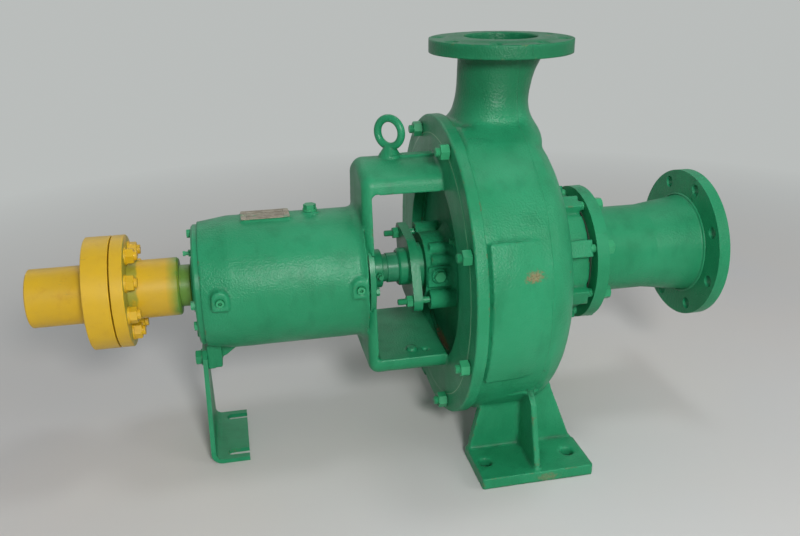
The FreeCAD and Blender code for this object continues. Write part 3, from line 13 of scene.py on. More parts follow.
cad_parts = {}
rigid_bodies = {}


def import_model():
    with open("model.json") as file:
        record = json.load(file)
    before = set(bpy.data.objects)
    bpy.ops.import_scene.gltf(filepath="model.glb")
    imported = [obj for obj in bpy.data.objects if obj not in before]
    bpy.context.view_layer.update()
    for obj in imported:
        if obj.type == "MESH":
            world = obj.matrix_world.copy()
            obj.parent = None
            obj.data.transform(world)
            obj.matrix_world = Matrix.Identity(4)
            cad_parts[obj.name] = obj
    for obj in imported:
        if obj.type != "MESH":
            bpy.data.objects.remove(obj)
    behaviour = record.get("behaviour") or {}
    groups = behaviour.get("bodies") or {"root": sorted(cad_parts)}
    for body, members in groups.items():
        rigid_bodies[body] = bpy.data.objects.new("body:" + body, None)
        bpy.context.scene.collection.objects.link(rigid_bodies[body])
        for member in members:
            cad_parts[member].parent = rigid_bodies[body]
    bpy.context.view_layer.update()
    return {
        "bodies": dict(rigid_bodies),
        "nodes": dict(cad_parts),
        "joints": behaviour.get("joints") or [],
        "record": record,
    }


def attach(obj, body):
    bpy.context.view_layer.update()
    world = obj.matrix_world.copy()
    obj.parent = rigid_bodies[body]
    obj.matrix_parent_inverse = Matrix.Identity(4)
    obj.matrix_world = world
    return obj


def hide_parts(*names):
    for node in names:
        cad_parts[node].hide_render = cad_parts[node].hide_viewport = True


logging.basicConfig(level=logging.INFO, format="%(message)s")
log = logging.getLogger("pump")

SHAFT_Z = 0.315
SHAFT_LINE = Vector((0.0, 0.0, SHAFT_Z))
DRUM_R = 0.262
PHOTO_WIDTH = 800
SENSOR_MM = 36.0

WALL_COLOUR = (0.49, 0.51, 0.50)
# deep green towards which hollows are darkened, as painted shade
HOLLOW_SHADE = (0.012, 0.075, 0.034)
WORN_EDGE = (0.105, 0.130, 0.055)
SCORED = (0.34, 0.50, 0.33)
RUST_LIGHT = (0.38, 0.225, 0.120)
RUST_DARK = (0.210, 0.100, 0.048)
OVERSPRAY = (0.050, 0.265, 0.042)
SMUDGE = (0.060, 0.24, 0.050)
SHAFT_COAT = (0.014, 0.21, 0.090)

Colour = tuple[float, float, float]
Profile = list[tuple[float, float]]


class Body(Enum):
    """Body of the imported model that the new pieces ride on."""

    STAND = "pump_stand"


class Slot(Enum):
    """Material slots of the record, passed along with the new pieces."""

    GREEN = "green_paint"
    PLATE = "bare_plate"


# Materials


class Shader:
    """Small wrapper round a material's node tree."""

    def __init__(self, name: str) -> None:
        """Start a material that holds one Principled shader.

        Args:
            name: Name of the material.
        """
        self.material = bpy.data.materials.new(name)
        self.material.use_nodes = True
        self.nodes = self.material.node_tree.nodes
        self.links = self.material.node_tree.links
        self.surface = self.nodes["Principled BSDF"]
        self.place = self.node("ShaderNodeTexCoord").outputs["Object"]

    def node(self, kind: str, **values: Any) -> bpy.types.Node:
        """Add a node and set its properties.

        Args:
            kind: Node type.
            **values: Properties of the node.

        Returns:
            The new node.
        """
        made = self.nodes.new(kind)
        for key, value in values.items():
            setattr(made, key, value)
        return made

    def join(self, source: bpy.types.NodeSocket, target: bpy.types.NodeSocket) -> None:
        """Link two sockets."""
        self.links.new(source, target)

    def constant(self, **values: Any) -> None:
        """Set sockets of the shader by their names, with spaces written as underscores."""
        for key, value in values.items():
            self.surface.inputs[key.replace("_", " ")].default_value = value

    def noise(self, scale: float, detail: float = 3.0, rough: float = 0.55,
              stretch: Colour = (1.0, 1.0, 1.0)) -> bpy.types.NodeSocket:
        """Noise on object coordinates.

        Args:
            scale: Cells in each metre.
            detail: Octaves of noise.
            rough: Strength of the finer octaves.
            stretch: Scale along each axis.

        Returns:
            The factor output.
        """
        mapping = self.node("ShaderNodeMapping")
        mapping.inputs["Scale"].default_value = stretch
        self.join(self.place, mapping.inputs["Vector"])
        texture = self.node("ShaderNodeTexNoise")
        texture.inputs["Scale"].default_value = scale
        texture.inputs["Detail"].default_value = detail
        texture.inputs["Roughness"].default_value = rough
        self.join(mapping.outputs["Vector"], texture.inputs["Vector"])
        return texture.outputs["Fac"]

    def between(self, value: bpy.types.NodeSocket, low: float, high: float,
                out_low: float = 0.0, out_high: float = 1.0) -> bpy.types.NodeSocket:
        """Clamp and rescale a value."""
        made = self.node("ShaderNodeMapRange")
        made.inputs["From Min"].default_value = low
        made.inputs["From Max"].default_value = high
        made.inputs["To Min"].default_value = out_low
        made.inputs["To Max"].default_value = out_high
        self.join(value, made.inputs["Value"])
        return made.outputs["Result"]

    def maths(self, kind: str, first: bpy.types.NodeSocket,
              second: bpy.types.NodeSocket | float) -> bpy.types.NodeSocket:
        """One arithmetic step."""
        made = self.node("ShaderNodeMath", operation=kind)
        self.join(first, made.inputs[0])
        if isinstance(second, float):
            made.inputs[1].default_value = second
        else:
            self.join(second, made.inputs[1])
        return made.outputs[0]

    def mix(self, share: bpy.types.NodeSocket | float, first: bpy.types.NodeSocket | Colour,
            second: bpy.types.NodeSocket | Colour) -> bpy.types.NodeSocket:
        """Mix two colours.

        Args:
            share: Share of the second colour.
            first: Colour or socket.
            second: Colour or socket.

        Returns:
            The mixed colour.
        """
        made = self.node("ShaderNodeMix", data_type="RGBA")
        given = ((made.inputs["Factor"], share), (made.inputs[6], first), (made.inputs[7], second))
        for socket, value in given:
            if isinstance(value, tuple):
                socket.default_value = (*value, 1.0)
            elif isinstance(value, float):
                socket.default_value = value
            else:
                self.join(value, socket)
        return made.outputs[2]

    def spot(self, centre: Colour, reach: float, ragged: bpy.types.NodeSocket,
             size: Colour = (1.0, 1.0, 1.0)) -> bpy.types.NodeSocket:
        """Ragged patch round a point.

        Args:
            centre: Centre of the patch in metres.
            reach: Radius of the patch.
            ragged: Noise that breaks up its edge.
            size: Stretch of the distance along each axis.

        Returns:
            One inside the patch, nought outside.
        """
        mapping = self.node("ShaderNodeMapping", vector_type="POINT")
        mapping.inputs["Scale"].default_value = size
        mapping.inputs["Location"].default_value = tuple(-c * s for c, s in zip(centre, size))
        self.join(self.place, mapping.inputs["Vector"])
        length = self.node("ShaderNodeVectorMath", operation="LENGTH")
        self.join(mapping.outputs["Vector"], length.inputs[0])
        near = self.between(length.outputs["Value"], 0.0, reach, 1.0, 0.0)
        both = self.maths("MULTIPLY", near, ragged)
        return self.between(both, 0.30, 0.40)

    def axis(self, letter: str) -> bpy.types.NodeSocket:
        """One of the object coordinates."""
        made = self.node("ShaderNodeSeparateXYZ")
        self.join(self.place, made.inputs[0])
        return made.outputs[letter]

    def ring_line(self, radius: float, width: float) -> bpy.types.NodeSocket:
        """One on a thin circle round the shaft line, nought beside it."""
        flat = self.node("ShaderNodeMapping")
        flat.inputs["Scale"].default_value = (0.0, 1.0, 1.0)
        flat.inputs["Location"].default_value = (0.0, 0.0, -SHAFT_Z)
        self.join(self.place, flat.inputs["Vector"])
        length = self.node("ShaderNodeVectorMath", operation="LENGTH")
        self.join(flat.outputs["Vector"], length.inputs[0])
        off = self.maths("SUBTRACT", length.outputs["Value"], radius)
        return self.between(self.maths("ABSOLUTE", off, 0.0), width * 0.4, width, 1.0, 0.0)

    def relief(self, height: bpy.types.NodeSocket, depth: float, strength: float,
               over: bpy.types.NodeSocket | None = None) -> bpy.types.NodeSocket:
        """Bump from a height.

        Args:
            height: Height from 0 to 1.
            depth: Depth in metres.
            strength: Strength of the bump.
            over: Normal of a coarser bump below it.

        Returns:
            The bumped normal.
        """
        made = self.node("ShaderNodeBump")
        made.inputs["Distance"].default_value = depth
        made.inputs["Strength"].default_value = strength
        self.join(height, made.inputs["Height"])
        if over is not None:
            self.join(over, made.inputs["Normal"])
        return made.outputs["Normal"]

    def edge_share(self) -> bpy.types.NodeSocket:
        """Signed crease value stored on the mesh: above 0.5 on outer edges, below in hollows."""
        made = self.node("ShaderNodeAttribute", attribute_name="crease")
        return made.outputs["Fac"]

    def finish(self, colour: bpy.types.NodeSocket, rough: bpy.types.NodeSocket | None,
               normal: bpy.types.NodeSocket | None) -> bpy.types.Material:
        """Connect the shader and give the material back."""
        self.join(colour, self.surface.inputs["Base Color"])
        if rough is not None:
            self.join(rough, self.surface.inputs["Roughness"])
        if normal is not None:
            self.join(normal, self.surface.inputs["Normal"])
        return self.material


@dataclass(frozen=True)
class RustPatch:
    """Place where the paint is chipped through to rust."""

    centre: Colour
    reach: float
    stretch: Colour = (1.0, 1.0, 1.0)
    share: float = 0.72


@dataclass(frozen=True)
class Enamel:
    """Brushed enamel, smooth on turned parts and pebbled on castings."""

    name: str
    shade: Colour = (0.012, 0.234, 0.097)
    light: Colour = (0.022, 0.290, 0.130)
    dark: Colour = (0.004, 0.142, 0.055)
    pebble: float = 0.0
    pebble_scale: float = 210.0
    rough: float = 0.41
    gloss: float = 0.33
    # height above which the tone darkens towards dark as painted shade, as under an overhanging flange
    painted_shade_above: float = 9.0
    score: tuple[float, float] | None = None
    wrinkled: bool = False
    parting: float | None = None
    rust: tuple[RustPatch, ...] = ()

    def make(self) -> bpy.types.Material:
        """Build the enamel's nodes."""
        s = Shader(self.name)
        s.constant(Specular_IOR_Level=self.gloss, Metallic=0.0)
        broad = s.noise(6.0, 4.0, 0.6)
        streak = s.noise(36.0, 3.0, 0.6, (1.0, 1.0, 0.35))
        tone = s.mix(s.between(broad, 0.35, 0.65), self.shade, self.light)
        tone = s.mix(s.between(streak, 0.50, 0.80, 0.0, 0.45), tone, self.dark)
        # painted shade: above that height the tone darkens towards dark, where the casing's flange overhangs its
        # neck
        tone = s.mix(s.between(s.axis("Z"), self.painted_shade_above, self.painted_shade_above + 0.04, 0.0, 0.85), tone, self.dark)
        crease = s.edge_share()
        # painted shade: hollows darken towards a deep green, broken up by noise
        hollow = s.between(crease, -0.05, -0.45, 0.0, 0.75)
        speckle = s.noise(420.0, 2.0, 0.7)
        hollow_shade = s.maths("MULTIPLY", hollow, s.between(s.noise(30.0, 3.0), 0.30, 0.62))
        tone = s.mix(hollow_shade, tone, HOLLOW_SHADE)
        rim = s.between(crease, 0.28, 0.60)
        broken = s.between(s.noise(55.0, 4.0, 0.7), 0.56, 0.66)
        tone = s.mix(s.maths("MULTIPLY", rim, broken), tone, WORN_EDGE)
        # painted highlight: outer edges lighten towards the light tone where the broad noise allows
        thin = s.maths("MULTIPLY", s.between(crease, 0.10, 0.45, 0.0, 0.35), s.between(broad, 0.3, 0.6))
        tone = s.mix(thin, tone, self.light)
        if self.score is not None:
            line = s.ring_line(self.score[0], 0.0010)
            face = s.between(s.axis("X"), self.score[1] + 0.0025, self.score[1] + 0.0015)
            bare = s.maths("MULTIPLY", s.maths("MULTIPLY", line, face), s.between(broad, 0.35, 0.6, 0.25, 0.9))
            tone = s.mix(bare, tone, SCORED)
        for patch in self.rust:
            ragged = s.noise(210.0, 5.0, 0.8)
            chipped = s.spot(patch.centre, patch.reach, ragged, patch.stretch)
            iron = s.mix(s.between(speckle, 0.4, 0.6), RUST_LIGHT, RUST_DARK)
            tone = s.mix(s.maths("MULTIPLY", chipped, patch.share), tone, iron)
        rough = s.between(s.noise(14.0, 3.0), 0.3, 0.7, self.rough - 0.06, self.rough + 0.08)
        return s.finish(tone, rough, self.skin(s))

    def skin(self, s: Shader) -> bpy.types.NodeSocket:
        """Brush drag, mould pebbles, paint wrinkles and the mould's parting line.

        Args:
            s: Shader of this enamel.

        Returns:
            The bumped normal.
        """
        drag = s.noise(90.0, 3.0, 0.6, (0.35, 1.0, 1.0))
        normal = s.relief(drag, 0.0004, 0.25)
        if self.pebble > 0:
            where = s.between(s.noise(9.0, 2.0), 0.30, 0.65, 0.35, 1.0)
            fine = s.noise(self.pebble_scale, 2.0, 0.45)
            lumps = s.maths("MULTIPLY", s.between(fine, 0.38, 0.72), where)
            normal = s.relief(lumps, 0.0009, self.pebble, normal)
        if self.wrinkled:
            warp = s.node("ShaderNodeTexVoronoi", feature="DISTANCE_TO_EDGE")
            warp.inputs["Scale"].default_value = 26.0
            bend = s.node("ShaderNodeVectorMath", operation="MULTIPLY_ADD")
            spread = s.node("ShaderNodeTexNoise")
            spread.inputs["Scale"].default_value = 60.0
            s.join(s.place, spread.inputs["Vector"])
            s.join(spread.outputs["Color"], bend.inputs[0])
            bend.inputs[1].default_value = (0.030, 0.030, 0.030)
            s.join(s.place, bend.inputs[2])
            s.join(bend.outputs["Vector"], warp.inputs["Vector"])
            line = s.between(warp.outputs["Distance"], 0.0, 0.045, 1.0, 0.0)
            where = s.between(s.noise(13.0, 2.0), 0.50, 0.60)
            normal = s.relief(s.maths("MULTIPLY", line, where), 0.0008, 0.55, normal)
        if self.parting is not None:
            off = s.maths("SUBTRACT", s.axis("X"), self.parting)
            wander = s.maths("ADD", off, s.between(s.noise(20.0, 3.0), 0.0, 1.0, -0.002, 0.002))
            line = s.between(s.maths("ABSOLUTE", wander, 0.0), 0.0004, 0.0013, 1.0, 0.0)
            normal = s.relief(line, 0.0007, 0.8, normal)
        return normal


@dataclass(frozen=True)
class CouplingEnamel:
    """Yellow enamel with green overspray at its ends and dirty green smudges round the pins."""

    name: str
    sprayed: tuple[tuple[float, float], ...] = ()
    smudged: tuple[float, float] | None = None

    def make(self) -> bpy.types.Material:
        """Build the yellow's nodes; each sprayed pair is where overspray starts and is full."""
        s = Shader(self.name)
        s.constant(Specular_IOR_Level=0.45, Coat_Weight=0.12, Coat_Roughness=0.3)
        cloud = s.noise(16.0, 4.0, 0.6)
        tone = s.mix(s.between(cloud, 0.35, 0.68), (0.69, 0.425, 0.008), (0.62, 0.385, 0.022))
        ochre = s.between(s.noise(34.0, 5.0, 0.7), 0.56, 0.74, 0.0, 0.5)
        tone = s.mix(ochre, tone, (0.52, 0.26, 0.008))
        scuff = s.between(s.noise(120.0, 4.0, 0.75, (0.25, 1.0, 1.0)), 0.66, 0.74, 0.0, 0.55)
        tone = s.mix(scuff, tone, (0.30, 0.24, 0.045))
        ragged = s.noise(24.0, 4.0, 0.65)
        for start, full in self.sprayed:
            along = s.between(s.axis("X"), start, full)
            share = s.between(s.maths("MULTIPLY", along, s.between(ragged, 0.2, 0.7, 0.55, 1.25)), 0.1, 0.9)
            tone = s.mix(s.maths("MULTIPLY", share, 0.86), tone, OVERSPRAY)
        if self.smudged is not None:
            low, high = self.smudged
            inside = s.maths("MULTIPLY", s.between(s.axis("X"), low - 0.001, low),
                             s.between(s.axis("X"), high, high - 0.014))
            blotch = s.between(s.maths("MULTIPLY", inside, ragged), 0.36, 0.50, 0.0, 0.55)
            tone = s.mix(blotch, tone, SMUDGE)
        rough = s.between(s.noise(40.0, 3.0), 0.3, 0.7, 0.36, 0.52)
        lathe = s.noise(500.0, 2.0, 0.5, (1.0, 0.05, 0.05))
        normal = s.relief(lathe, 0.00025, 0.22)
        normal = s.relief(s.noise(140.0, 3.0), 0.0003, 0.16, normal)
        return s.finish(tone, rough, normal)


@dataclass(frozen=True)
class Metal:
    """Bare metal with turning marks, stains and an uneven polish."""

    name: str
    colour: Colour
    stain: Colour
    rough: float = 0.3
    metallic: float = 1.0
    marks: Colour = (1.0, 0.05, 0.05)
    painted: tuple[float, float] | None = None

    def make(self) -> bpy.types.Material:
        """Build the metal's nodes; the painted pair is where enamel covers it along X."""
        s = Shader(self.name)
        s.constant(Metallic=self.metallic)
        cloud = s.between(s.noise(22.0, 5.0, 0.65), 0.45, 0.72, 0.0, 0.6)
        tone = s.mix(cloud, self.colour, self.stain)
        rough = s.between(s.noise(60.0, 3.0), 0.3, 0.7, self.rough - 0.06, self.rough + 0.14)
        normal = s.relief(s.noise(900.0, 2.0, 0.5, self.marks), 0.00012, 0.25)
        if self.painted is not None:
            low, high = self.painted
            coat = s.maths("MULTIPLY", s.between(s.axis("X"), low - 0.0003, low),
                           s.between(s.axis("X"), high + 0.0003, high))
            tone = s.mix(coat, tone, SHAFT_COAT)
            s.join(s.between(coat, 0.0, 1.0, self.metallic, 0.0), s.surface.inputs["Metallic"])
            rough = s.maths("MAXIMUM", rough, s.maths("MULTIPLY", coat, 0.42))
        return s.finish(tone, rough, normal)


@dataclass(frozen=True)
class Soft:
    """Packing, gasket sheet or rubber: matt, with its own small texture."""

    name: str
    colour: Colour
    other: Colour
    scale: float
    rough: float = 0.85

    def make(self) -> bpy.types.Material:
        """Build the nodes."""
        s = Shader(self.name)
        s.constant(Specular_IOR_Level=0.3)
        weave = s.node("ShaderNodeTexVoronoi", feature="F1")
        weave.inputs["Scale"].default_value = self.scale
        s.join(s.place, weave.inputs["Vector"])
        cell = s.between(weave.outputs["Distance"], 0.1, 0.7)
        tone = s.mix(cell, self.colour, self.other)
        rough = s.between(s.noise(80.0, 3.0), 0.3, 0.7, self.rough - 0.1, self.rough + 0.08)
        return s.finish(tone, rough, s.relief(cell, 0.0006, 0.5))


@dataclass(frozen=True)
class AgedPlate:
    """Pale nameplate metal, worn, with green paint run onto its edges."""

    name: str
    shade: Colour = (0.370, 0.325, 0.245)
    stain: Colour = (0.215, 0.180, 0.125)

    def make(self) -> bpy.types.Material:
        """Build the nodes."""
        s = Shader(self.name)
        s.constant(Metallic=0.25, Specular_IOR_Level=0.5)
        cloud = s.noise(70.0, 5.0, 0.7)
        tone = s.mix(s.between(cloud, 0.4, 0.65), self.shade, self.stain)
        smear = s.between(s.noise(45.0, 4.0, 0.7, (0.6, 1.0, 1.0)), 0.57, 0.68, 0.0, 0.8)
        tone = s.mix(smear, tone, (0.10, 0.30, 0.16))
        rough = s.between(s.noise(100.0, 3.0), 0.3, 0.7, 0.38, 0.6)
        return s.finish(tone, rough, s.relief(s.noise(240.0, 3.0), 0.0002, 0.25))


@dataclass(frozen=True)
class Palette:
    """Every finish of the pump, built once."""

    casting: bpy.types.Material
    casing: bpy.types.Material
    bracket: bpy.types.Material
    turned: bpy.types.Material
    fastener: bpy.types.Material
    leg: bpy.types.Material
    motor_yellow: bpy.types.Material
    pump_yellow: bpy.types.Material
    collar: bpy.types.Material
    sleeve: bpy.types.Material
    iron: bpy.types.Material
    bronze: bpy.types.Material
    steel: bpy.types.Material
    shaft: bpy.types.Material
    spool: bpy.types.Material
    cage: bpy.types.Material
    packing: bpy.types.Material
    gasket: bpy.types.Material
    rubber: bpy.types.Material
    plate: bpy.types.Material
    rules: bpy.types.Material

    @classmethod
    def build(cls) -> "Palette":
        """Build all the materials."""
        face_chips = RustPatch((-0.0200, -0.264, 0.3790), 0.048, (1.0, 0.5, 1.7))
        small_chip = RustPatch((0.046, -0.233, 0.373), 0.009, (0.8, 1.0, 1.6))
        foot_chip = RustPatch((0.020, -0.262, 0.008), 0.045, (0.8, 1.0, 2.0), 0.35)
        flange_chip = RustPatch((0.075, -0.02, 0.716), 0.016)
        cover_chip = RustPatch((-0.0915, 0.025, 0.146), 0.085, (6.0, 0.6, 2.0), 0.85)
        seam_chip = RustPatch((-0.098, -0.12, 0.165), 0.050, (2.5, 1.0, 0.6))
        return cls(
            casting=Enamel("green enamel on castings", pebble=0.80, rough=0.55, gloss=0.10,
                           rust=(cover_chip,)).make(),
            # the casing's neck, under its flange, darkens above 0.585 m as painted shade
            casing=Enamel("green enamel on the casing", pebble=0.54, pebble_scale=310.0,
                          painted_shade_above=0.585, parting=0.0105,
                          rust=(face_chips, small_chip, foot_chip, flange_chip)).make(),
            bracket=Enamel("green enamel on the bracket", pebble=0.46, pebble_scale=340.0,
                           score=(0.238, -0.1167), rust=(seam_chip,)).make(),
            turned=Enamel("green enamel on turned parts", pebble=0.12, rough=0.34).make(),
            fastener=Enamel("green enamel on fasteners", light=(0.050, 0.38, 0.17), pebble=0.10,
                            rough=0.36).make(),
            leg=Enamel("green enamel on the leg", pebble=0.16, rough=0.40,
                       rust=(RustPatch((-0.50, -0.061, 0.006), 0.030, (1.0, 1.2, 1.0)),)).make(),
            motor_yellow=CouplingEnamel("yellow enamel on the motor half").make(),
            pump_yellow=CouplingEnamel("yellow enamel on the pump half",
                                       sprayed=((-0.590, -0.566),),
                                       smudged=(-0.649, -0.622)).make(),
            collar=CouplingEnamel("yellow over green on the collar", sprayed=((-0.596, -0.562),)).make(),
            sleeve=Enamel("thin green on the sleeve", shade=(0.022, 0.22, 0.10), light=(0.06, 0.34, 0.19),
                          rough=0.26).make(),
            iron=Metal("machined cast iron", (0.30, 0.30, 0.31), (0.16, 0.11, 0.08), 0.5, 0.8,
                       (1.0, 1.0, 1.0)).make(),
            bronze=Metal("turned bronze", (0.62, 0.40, 0.17), (0.38, 0.24, 0.10), 0.34).make(),
            steel=Metal("ground steel", (0.62, 0.63, 0.65), (0.45, 0.44, 0.43), 0.22).make(),
            shaft=Metal("ground steel, painted where it shows", (0.62, 0.63, 0.65), (0.45, 0.44, 0.43), 0.22,
                        painted=(-0.2160, -0.2055)).make(),
            spool=Enamel("green enamel on the spool", pebble=0.45, pebble_scale=300.0, wrinkled=True).make(),
            cage=Metal("machined brass", (0.72, 0.52, 0.22), (0.50, 0.35, 0.13), 0.3).make(),
            packing=Soft("braided graphite packing", (0.020, 0.020, 0.021), (0.07, 0.07, 0.07), 260.0).make(),
            gasket=Soft("stained gasket sheet", (0.020, 0.045, 0.026), (0.045, 0.060, 0.040), 600.0).make(),
            rubber=Soft("bush rubber", (0.022, 0.022, 0.023), (0.035, 0.035, 0.035), 900.0, 0.7).make(),
            plate=AgedPlate("bare aged plate").make(),
            rules=AgedPlate("darkened fields of the plate", (0.16, 0.145, 0.110), (0.09, 0.080, 0.060)).make())


# Mesh helpers


def empty_piece(name: str, mesh: bpy.types.Mesh) -> bpy.types.Object:
    """Object at the origin that shows a mesh."""
    piece = bpy.data.objects.new(name, mesh)
    bpy.context.scene.collection.objects.link(piece)
    return piece


def shade_by_angle(bm: bmesh.types.BMesh, degrees: float = 32.0) -> None:
    """Shade faces smooth and keep edges sharper than an angle crisp."""
    limit = math.radians(degrees)
    for face in bm.faces:
        face.smooth = True
    for edge in bm.edges:
        edge.smooth = len(edge.link_faces) != 2 or edge.calc_face_angle(0.0) < limit


def close_piece(name: str, bm: bmesh.types.BMesh, degrees: float = 32.0) -> bpy.types.Object:
    """Turn a finished bmesh into a piece with smooth shading and outward faces."""
    bmesh.ops.remove_doubles(bm, verts=bm.verts, dist=1e-6)
    bmesh.ops.recalc_face_normals(bm, faces=bm.faces)
    shade_by_angle(bm, degrees)
    mesh = bpy.data.meshes.new(name)
    bm.to_mesh(mesh)
    bm.free()
    return empty_piece(name, mesh)


def store_crease(mesh: bpy.types.Mesh, rounds: int = 2) -> None:
    """Store on each point how hollow (negative) or proud (positive) the surface is there.

    Args:
        mesh: Mesh to measure.
        rounds: Times that the value is spread to the neighbours.
    """
    bm = bmesh.new()
    bm.from_mesh(mesh)
    bm.verts.ensure_lookup_table()
    values = [0.0] * len(bm.verts)
    for vertex in bm.verts:
        bends = [edge.calc_face_angle_signed(0.0) for edge in vertex.link_edges if len(edge.link_faces) == 2]
        if bends:
            values[vertex.index] = max(bends) + min(bends)
    links = [[edge.other_vert(vertex).index for edge in vertex.link_edges] for vertex in bm.verts]
    bm.free()
    for _ in range(rounds):
        values = [0.5 * value + 0.5 * sum(values[n] for n in near) / max(1, len(near))
                  for value, near in zip(values, links)]
    attribute = mesh.attributes.get("crease") or mesh.attributes.new("crease", "FLOAT", "POINT")
    attribute.data.foreach_set("value", [max(-1.0, min(1.0, value)) for value in values])


def through_modifiers(piece: bpy.types.Object) -> None:
    """Replace a piece's mesh by what its modifiers make of it."""
    graph = bpy.context.evaluated_depsgraph_get()
    mesh = bpy.data.meshes.new_from_object(piece.evaluated_get(graph))
    piece.modifiers.clear()
    piece.data = mesh


def revolve(profile: Profile, steps: int) -> bmesh.types.BMesh:
    """Solid of revolution round the shaft line.

    Args:
        profile: Points as distance along X and radius; its ends are joined.
        steps: Segments of the full turn.

    Returns:
        The new bmesh.
    """
    bm = bmesh.new()
    ring = [bm.verts.new((x, 0.0, SHAFT_Z + r)) for x, r in profile]
    edges = [bm.edges.new(pair) for pair in zip(ring, ring[1:] + ring[:1])]
    bmesh.ops.spin(bm, geom=ring + edges, cent=SHAFT_LINE, axis=(1, 0, 0), angle=2 * math.pi,
                   steps=steps, use_merge=True, use_duplicate=False)
    return bm


def around_shaft(bm: bmesh.types.BMesh, angles: Iterable[float]) -> bmesh.types.BMesh:
    """Copies of a mesh turned round the shaft line.

    Args:
        bm: Mesh drawn above the shaft line; it is freed.
        angles: Angles from the top towards the near side, in degrees.

    Returns:
        One bmesh with all the copies.
    """
    single = bpy.data.meshes.new("single")
    bm.to_mesh(single)
    bm.free()
    whole = bmesh.new()
    for angle in angles:
        turn = Matrix.Translation(SHAFT_LINE) @ Matrix.Rotation(math.radians(angle), 4, "X")
        copy = single.copy()
        copy.transform(turn @ Matrix.Translation(-SHAFT_LINE))
        whole.from_mesh(copy)
        bpy.data.meshes.remove(copy)
    bpy.data.meshes.remove(single)
    return whole


def spun_part(profile: Profile, centre: Vector, direction: Vector, steps: int = 24) -> bmesh.types.BMesh:
    """Solid of revolution about any line.

    Args:
        profile: Points as distance along the line and radius; both ends lie on the line.
        centre: Start of the line.
        direction: Direction of the line.
        steps: Segments of the full turn.

    Returns:
        The new bmesh.
    """
    bm = bmesh.new()
    ring = [bm.verts.new((r, 0.0, along)) for along, r in profile]
    edges = [bm.edges.new(pair) for pair in zip(ring, ring[1:])]
    bmesh.ops.spin(bm, geom=ring + edges, cent=(0, 0, 0), axis=(0, 0, 1), angle=2 * math.pi,
                   steps=steps, use_merge=True, use_duplicate=False)
    bmesh.ops.remove_doubles(bm, verts=bm.verts, dist=1e-7)
    turn = direction.to_track_quat("Z", "Y").to_matrix().to_4x4()
    bmesh.ops.transform(bm, matrix=Matrix.Translation(centre) @ turn, verts=bm.verts)
    return bm


def thread_profile(start: float, end: float, radius: float, pitch: float = 0.002) -> Profile:
    """Profile of a threaded stud end with a chamfered tip at its start."""
    points = [(start, 0.0), (start, radius - 0.0018), (start + 0.0015, radius - 0.0002)]
    place = start + 0.0015
    while place + pitch < end:
        points += [(place + pitch * 0.5, radius - 0.0010), (place + pitch, radius - 0.0001)]
        place += pitch
    return points + [(end, radius), (end, 0.0)]


class Pump:
    """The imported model, and what its pieces are dressed with."""

    def __init__(self, frame: dict[str, Any], palette: Palette) -> None:
        """Keep the frame and the finishes."""
        self.nodes: dict[str, bpy.types.Object] = frame["nodes"]
        self.palette = palette

    def dress(self, finish: bpy.types.Material, *names: str) -> None:
        """Give CAD nodes a finish."""
        for name in names:
            mesh = self.nodes[name].data
            mesh.materials.clear()
            mesh.materials.append(finish)
            log.info("dressed %s", name)

    def add(self, piece: bpy.types.Object, body: Body, slot: Slot, finish: bpy.types.Material,
            *stands_for: str) -> bpy.types.Object:
        """Give a new piece its finish and body.

        Args:
            piece: New piece at its place.
            body: Body that it rides on.
            slot: Material slot of the record; not used.
            finish: Material.
            *stands_for: CAD nodes that it replaces.

        Returns:
            The same piece.
        """
        piece.data.materials.clear()
        piece.data.materials.append(finish)
        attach(piece, body.value)
        if stands_for:
            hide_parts(*stands_for)
        log.info("built %s (%d faces)", piece.name, len(piece.data.polygons))
        return piece

    def merged_copy(self, node: str, name: str) -> bpy.types.Object:
        """Copy of a CAD node's mesh with its loose triangles joined."""
        bm = bmesh.new()
        bm.from_mesh(self.nodes[node].data)
        bmesh.ops.remove_doubles(bm, verts=bm.verts, dist=4e-6)
        bmesh.ops.dissolve_degenerate(bm, dist=1e-6, edges=bm.edges)
        mesh = bpy.data.meshes.new(name)
        bm.to_mesh(mesh)
        bm.free()
        return empty_piece(name, mesh)


# Castings


def soften(bm: bmesh.types.BMesh, points: list[bmesh.types.BMVert], factor: float, rounds: int) -> None:
    """Draw points towards their neighbours.

    Args:
        bm: Mesh of the points.
        points: Points that move.
        factor: Share of the way in each round.
        rounds: Number of rounds.
    """
    for _ in range(rounds):
        bmesh.ops.smooth_vert(bm, verts=points, factor=factor, use_axis_x=True, use_axis_y=True,
                              use_axis_z=True)


